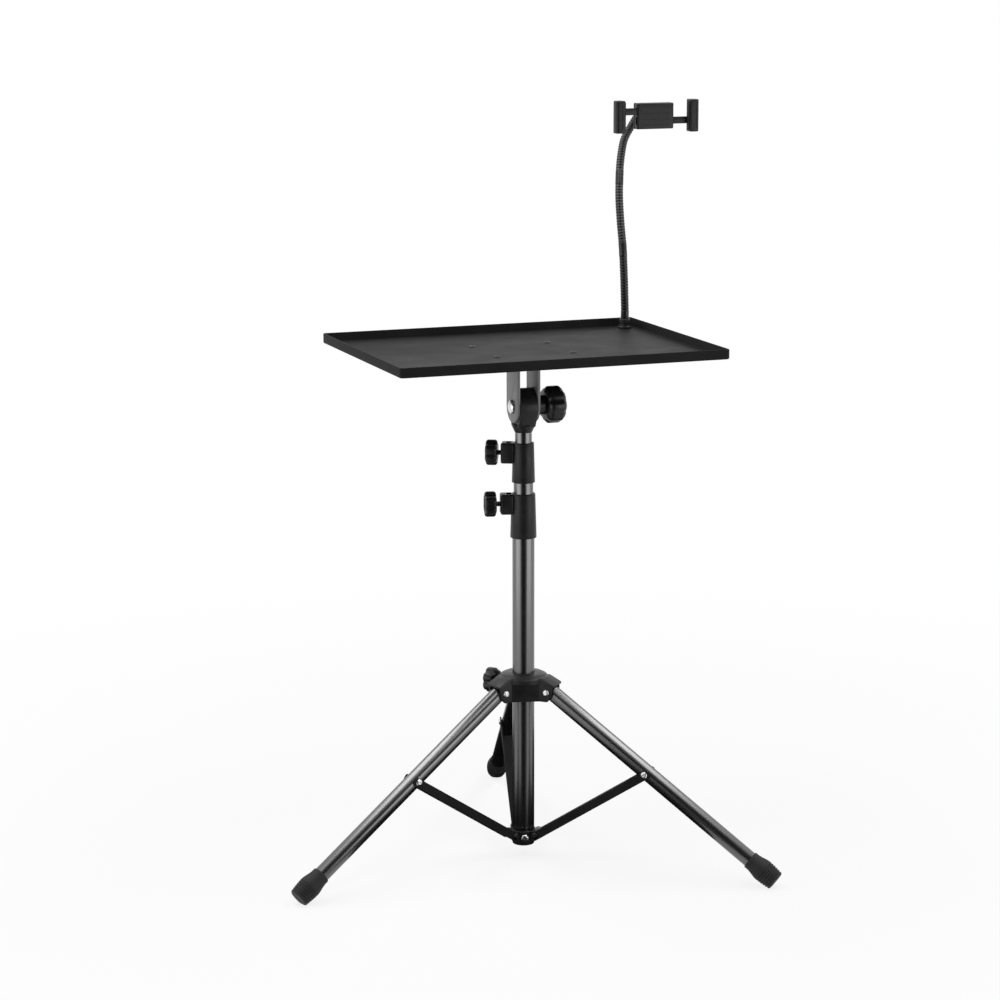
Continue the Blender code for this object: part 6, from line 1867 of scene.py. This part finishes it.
@dataclass
class Studio:
    """The pale floor, the soft lights and the camera."""

    camera_place: Triple = (-1.1278, -2.9649, 1.0577)
    camera_turn: Triple = (78.552, -0.097, -20.35)
    lens: float = 103.45
    floor_radius: float = 60.0
    floor_drop: float = 0.0002
    floor_tint: Triple = (0.86, 0.86, 0.86)
    floor_fade: Pair = (0.35, 1.5)
    near_white: float = 0.84
    sky_light: float = 0.20
    low_panels: tuple[tuple[str, Triple, float], ...] = (
        ("left_panel", (-1.9, -0.35, 0.45), 2.0), ("right_panel", (1.25, -1.5, 0.45), 2.0),
        ("back_panel", (0.9, 2.5, 1.2), 0.5))
    low_panel_size: Pair = (1.7, 0.9)
    aim: Triple = (0.0, 0.0, 0.35)
    ceiling_level: float = 5.5
    # a black card seen only in reflections: it paints dark reflections on the glossy pieces
    card_turns: Pair = (-25.0, 32.0)
    card_reach: Triple = (0.03, 2.4, 2.5)
    reflection_shade_colour: Triple = (0.004, 0.004, 0.004)
    card_lift: float = 0.0008
    card_ground: float = 0.20
    card_behind: float = 0.50
    card_behind_to: float = 140.0
    wall_turns: tuple[int, int, int] = (-50, 70, 20)
    wall_low: float = 0.9

    def camera(self) -> None:
        """Place the camera where the photograph was taken from."""
        data = bpy.data.cameras.new("studio_camera")
        data.lens = self.lens
        data.sensor_width = 36.0
        data.clip_end = 200.0
        item = bpy.data.objects.new("studio_camera", data)
        pitch, roll, heading = self.camera_turn
        item.matrix_world = (at(self.camera_place) @ turned_by(heading, "Z") @ turned_by(pitch, "X")
                             @ turned_by(roll, "Z"))
        bpy.context.scene.collection.objects.link(item)
        bpy.context.scene.camera = item

    def panel(self, name: str, place: Matrix, size: Pair, level: float) -> None:
        """Hang one soft panel light.

        Args:
            name: The light's name.
            place: Its centre and turn; unturned, it faces down.
            size: Its width and height.
            level: Its brightness, where 1 is as bright as a white surface in full light.
        """
        data = bpy.data.lights.new(name, "AREA")
        data.shape = "RECTANGLE"
        data.size, data.size_y = size
        data.energy = level * math.pi * size[0] * size[1]
        item = bpy.data.objects.new(name, data)
        item.matrix_world = place
        item.visible_camera = False
        bpy.context.scene.collection.objects.link(item)

    def panels(self) -> None:
        """Hang all panels: two low ones for the column, one behind, two on the ceiling for the legs."""
        for name, centre, level in self.low_panels:
            facing = (Vector(self.aim) - Vector(centre)).to_track_quat("-Z", "Y").to_matrix().to_4x4()
            self.panel(name, at(centre) @ facing, self.low_panel_size, level)
        self.panel("ceiling_panel_left", at((-0.75, 0.5, 2.1)), (0.7, 2.4), self.ceiling_level)
        self.panel("ceiling_panel_right", at((1.05, -0.3, 2.1)) @ turned_by(48.0, "Z"), (2.4, 0.6),
                   self.ceiling_level)

    def shown_rays(self, tree: bpy.types.NodeTree) -> bpy.types.NodeSocket:
        """Pick out the rays that show the white background.

        Args:
            tree: The shader tree that needs them.

        Returns:
            A value that is 1 for camera, glossy and transmission rays and 0 for the rest.
        """
        path = add_node(tree, "LightPath")
        shown = path.outputs["Is Camera Ray"]
        for name in ("Is Glossy Ray", "Is Transmission Ray"):
            either = add_node(tree, "Math", operation="MAXIMUM")
            link(tree, shown, either.inputs[0])
            link(tree, path.outputs[name], either.inputs[1])
            shown = either.outputs[0]
        return shown

    def stage_piece(self, name: str,
                    builder: bmesh.types.BMesh) -> tuple[bpy.types.Object, bpy.types.Material]:
        """Put a piece of the stage into the scene.

        Args:
            name: Its name.
            builder: Its shape, which is used up.

        Returns:
            The object and its new material.
        """
        item = Solid(builder).as_object(name)
        material = bpy.data.materials.new(name + "_paint")
        material.use_nodes = True
        item.data.materials.append(material)
        return item, material

    def reflection_shade_card(self) -> None:
        """Paint shade into reflections with a black card on the camera's side, which only glossy rays see.

        Its faces are a fan on the floor, an upright behind it, the ground under the stand and a high wall.
        """
        facing = math.degrees(math.atan2(self.camera_place[1], self.camera_place[0]))
        first, last = (facing + turn for turn in self.card_turns)
        near, far, top = self.card_reach
        lift = self.card_lift
        builder = bmesh.new()
        fan = [builder.verts.new(polar(turn, radius, lift))
               for turn, radius in ((first, near), (first, far), (last, far), (last, near))]
        upper = [builder.verts.new(polar(turn, far, top)) for turn in (first, last)]
        builder.faces.new(fan)
        builder.faces.new((fan[1], *upper, fan[2]))
        radii = [(turn, self.card_behind if turn <= self.card_behind_to else self.card_ground)
                 for turn in range(0, 360, 10)]
        builder.faces.new([builder.verts.new(polar(turn, radius, 0.5 * lift)) for turn, radius in radii])
        step = self.wall_turns[2]
        for turn in range(*self.wall_turns):
            corners = ((0, self.wall_low), (step, self.wall_low), (step, top), (0, top))
            builder.faces.new([builder.verts.new(polar(facing + turn + across, far + lift, height))
                               for across, height in corners])
        card, material = self.stage_piece("reflection_shade_card", builder)
        shader = material.node_tree.nodes["Principled BSDF"]
        shader.inputs["Base Color"].default_value = (*self.reflection_shade_colour, 1.0)
        shader.inputs["Specular IOR Level"].default_value = 0.0
        # painted shade in reflections: the card is hidden from the camera, from diffuse light and from
        # shadows, and only darkens glossy reflections
        card.visible_camera = False
        card.visible_diffuse = False
        card.visible_shadow = False

    def floor(self) -> None:
        """Lay the pale floor; far out it turns into the white of the backdrop."""
        builder = bmesh.new()
        bmesh.ops.create_circle(builder, cap_ends=True, segments=96, radius=self.floor_radius)
        item, material = self.stage_piece("pale_floor", builder)
        item.location = (0.0, 0.0, -self.floor_drop)
        tree = material.node_tree
        shader = tree.nodes["Principled BSDF"]
        shader.inputs["Base Color"].default_value = (*self.floor_tint, 1.0)
        shader.inputs["Roughness"].default_value = 0.9
        shader.inputs["Specular IOR Level"].default_value = 0.1
        place = add_node(tree, "TexCoord")
        distance = add_node(tree, "VectorMath", operation="LENGTH")
        near, far = self.floor_fade
        fade = add_node(tree, "MapRange", From_Min=near, From_Max=far, To_Min=self.near_white)
        fade.interpolation_type = "SMOOTHSTEP"
        seen = add_node(tree, "Math", operation="MULTIPLY")
        white = add_node(tree, "Emission")
        mix = add_node(tree, "MixShader")
        joins = ((place.outputs["Object"], distance.inputs[0]),
                 (distance.outputs["Value"], fade.inputs["Value"]),
                 (fade.outputs["Result"], seen.inputs[0]), (self.shown_rays(tree), seen.inputs[1]),
                 (seen.outputs[0], mix.inputs[0]), (shader.outputs[0], mix.inputs[1]),
                 (white.outputs[0], mix.inputs[2]),
                 (mix.outputs[0], tree.nodes["Material Output"].inputs["Surface"]))
        for source, target in joins:
            link(tree, source, target)

    def world(self) -> None:
        """Make the surroundings: white to the camera, a soft grey as light."""
        world = bpy.data.worlds.new("studio_world")
        bpy.context.scene.world = world
        world.use_nodes = True
        tree = world.node_tree
        tree.nodes.clear()
        output = add_node(tree, "OutputWorld")
        soft = add_node(tree, "Background", Color=(1.0, 1.0, 1.0, 1.0), Strength=self.sky_light)
        white = add_node(tree, "Background", Color=(1.0, 1.0, 1.0, 1.0))
        mix = add_node(tree, "MixShader")
        link(tree, self.shown_rays(tree), mix.inputs[0])
        link(tree, soft.outputs[0], mix.inputs[1])
        link(tree, white.outputs[0], mix.inputs[2])
        link(tree, mix.outputs[0], output.inputs["Surface"])

    def build(self) -> None:
        """Set up the studio."""
        self.camera()
        self.floor()
        self.reflection_shade_card()
        self.world()
        self.panels()


def dress_cad_nodes() -> None:
    """Give every CAD node the procedural finish of its slot."""
    for subpart in frame["record"]["subparts"]:
        item = frame["nodes"][subpart["node"]]
        material = FINISHES_BY_SLOT[subpart["material_slot"]].material()
        if item.material_slots:
            for slot in item.material_slots:
                slot.material = material
        else:
            item.data.materials.append(material)


def main() -> None:
    """Build the stand's looks from the floor up, then the studio."""
    logging.basicConfig(level=logging.INFO, format="%(message)s")
    bpy.context.scene.view_settings.view_transform = "Standard"
    dress_cad_nodes()
    collar = BottomCollar()
    lower = ClampCollar("lower_collar", "root", bottom=0.3726, top=0.4234, top_diameter=0.027,
                        bottom_diameter=0.0298, boss_bottom=0.400, boss_reach=0.0263, direction=165.1,
                        screw_height=0.4115, seat_diameter=LOWER_TUBE, seat_top=Column.lower_ends[1],
                        clamped_diameter=MIDDLE_TUBE)
    upper = ClampCollar("upper_collar", "middle_column", bottom=0.436, top=0.4815, top_diameter=0.0238,
                        bottom_diameter=0.0262, boss_bottom=0.4578, boss_reach=0.0251, direction=153.1,
                        screw_height=0.4693, seat_diameter=MIDDLE_TUBE, seat_top=Column.middle_ends[1],
                        clamped_diameter=TOP_TUBE)
    legs = LegSet()
    hub = Hub(legs)
    screws = (ClampScrew("lower_knob", lower.direction, lower.screw_height, MIDDLE_TUBE / 2.0, 0.031),
              ClampScrew("upper_knob", upper.direction, upper.screw_height, TOP_TUBE / 2.0, 0.0292),
              ClampScrew("hub_knob", hub.screw_direction, hub.screw_height, LOWER_TUBE / 2.0, 0.0325))
    for part in (Column(), collar, lower, upper, *screws, hub, legs, StrutSet(legs, collar), TiltHead(),
                 Yoke(), Tray(), Neck(), PhoneHolder(), Studio()):
        part.build()


if __name__ == "__main__":
    main()
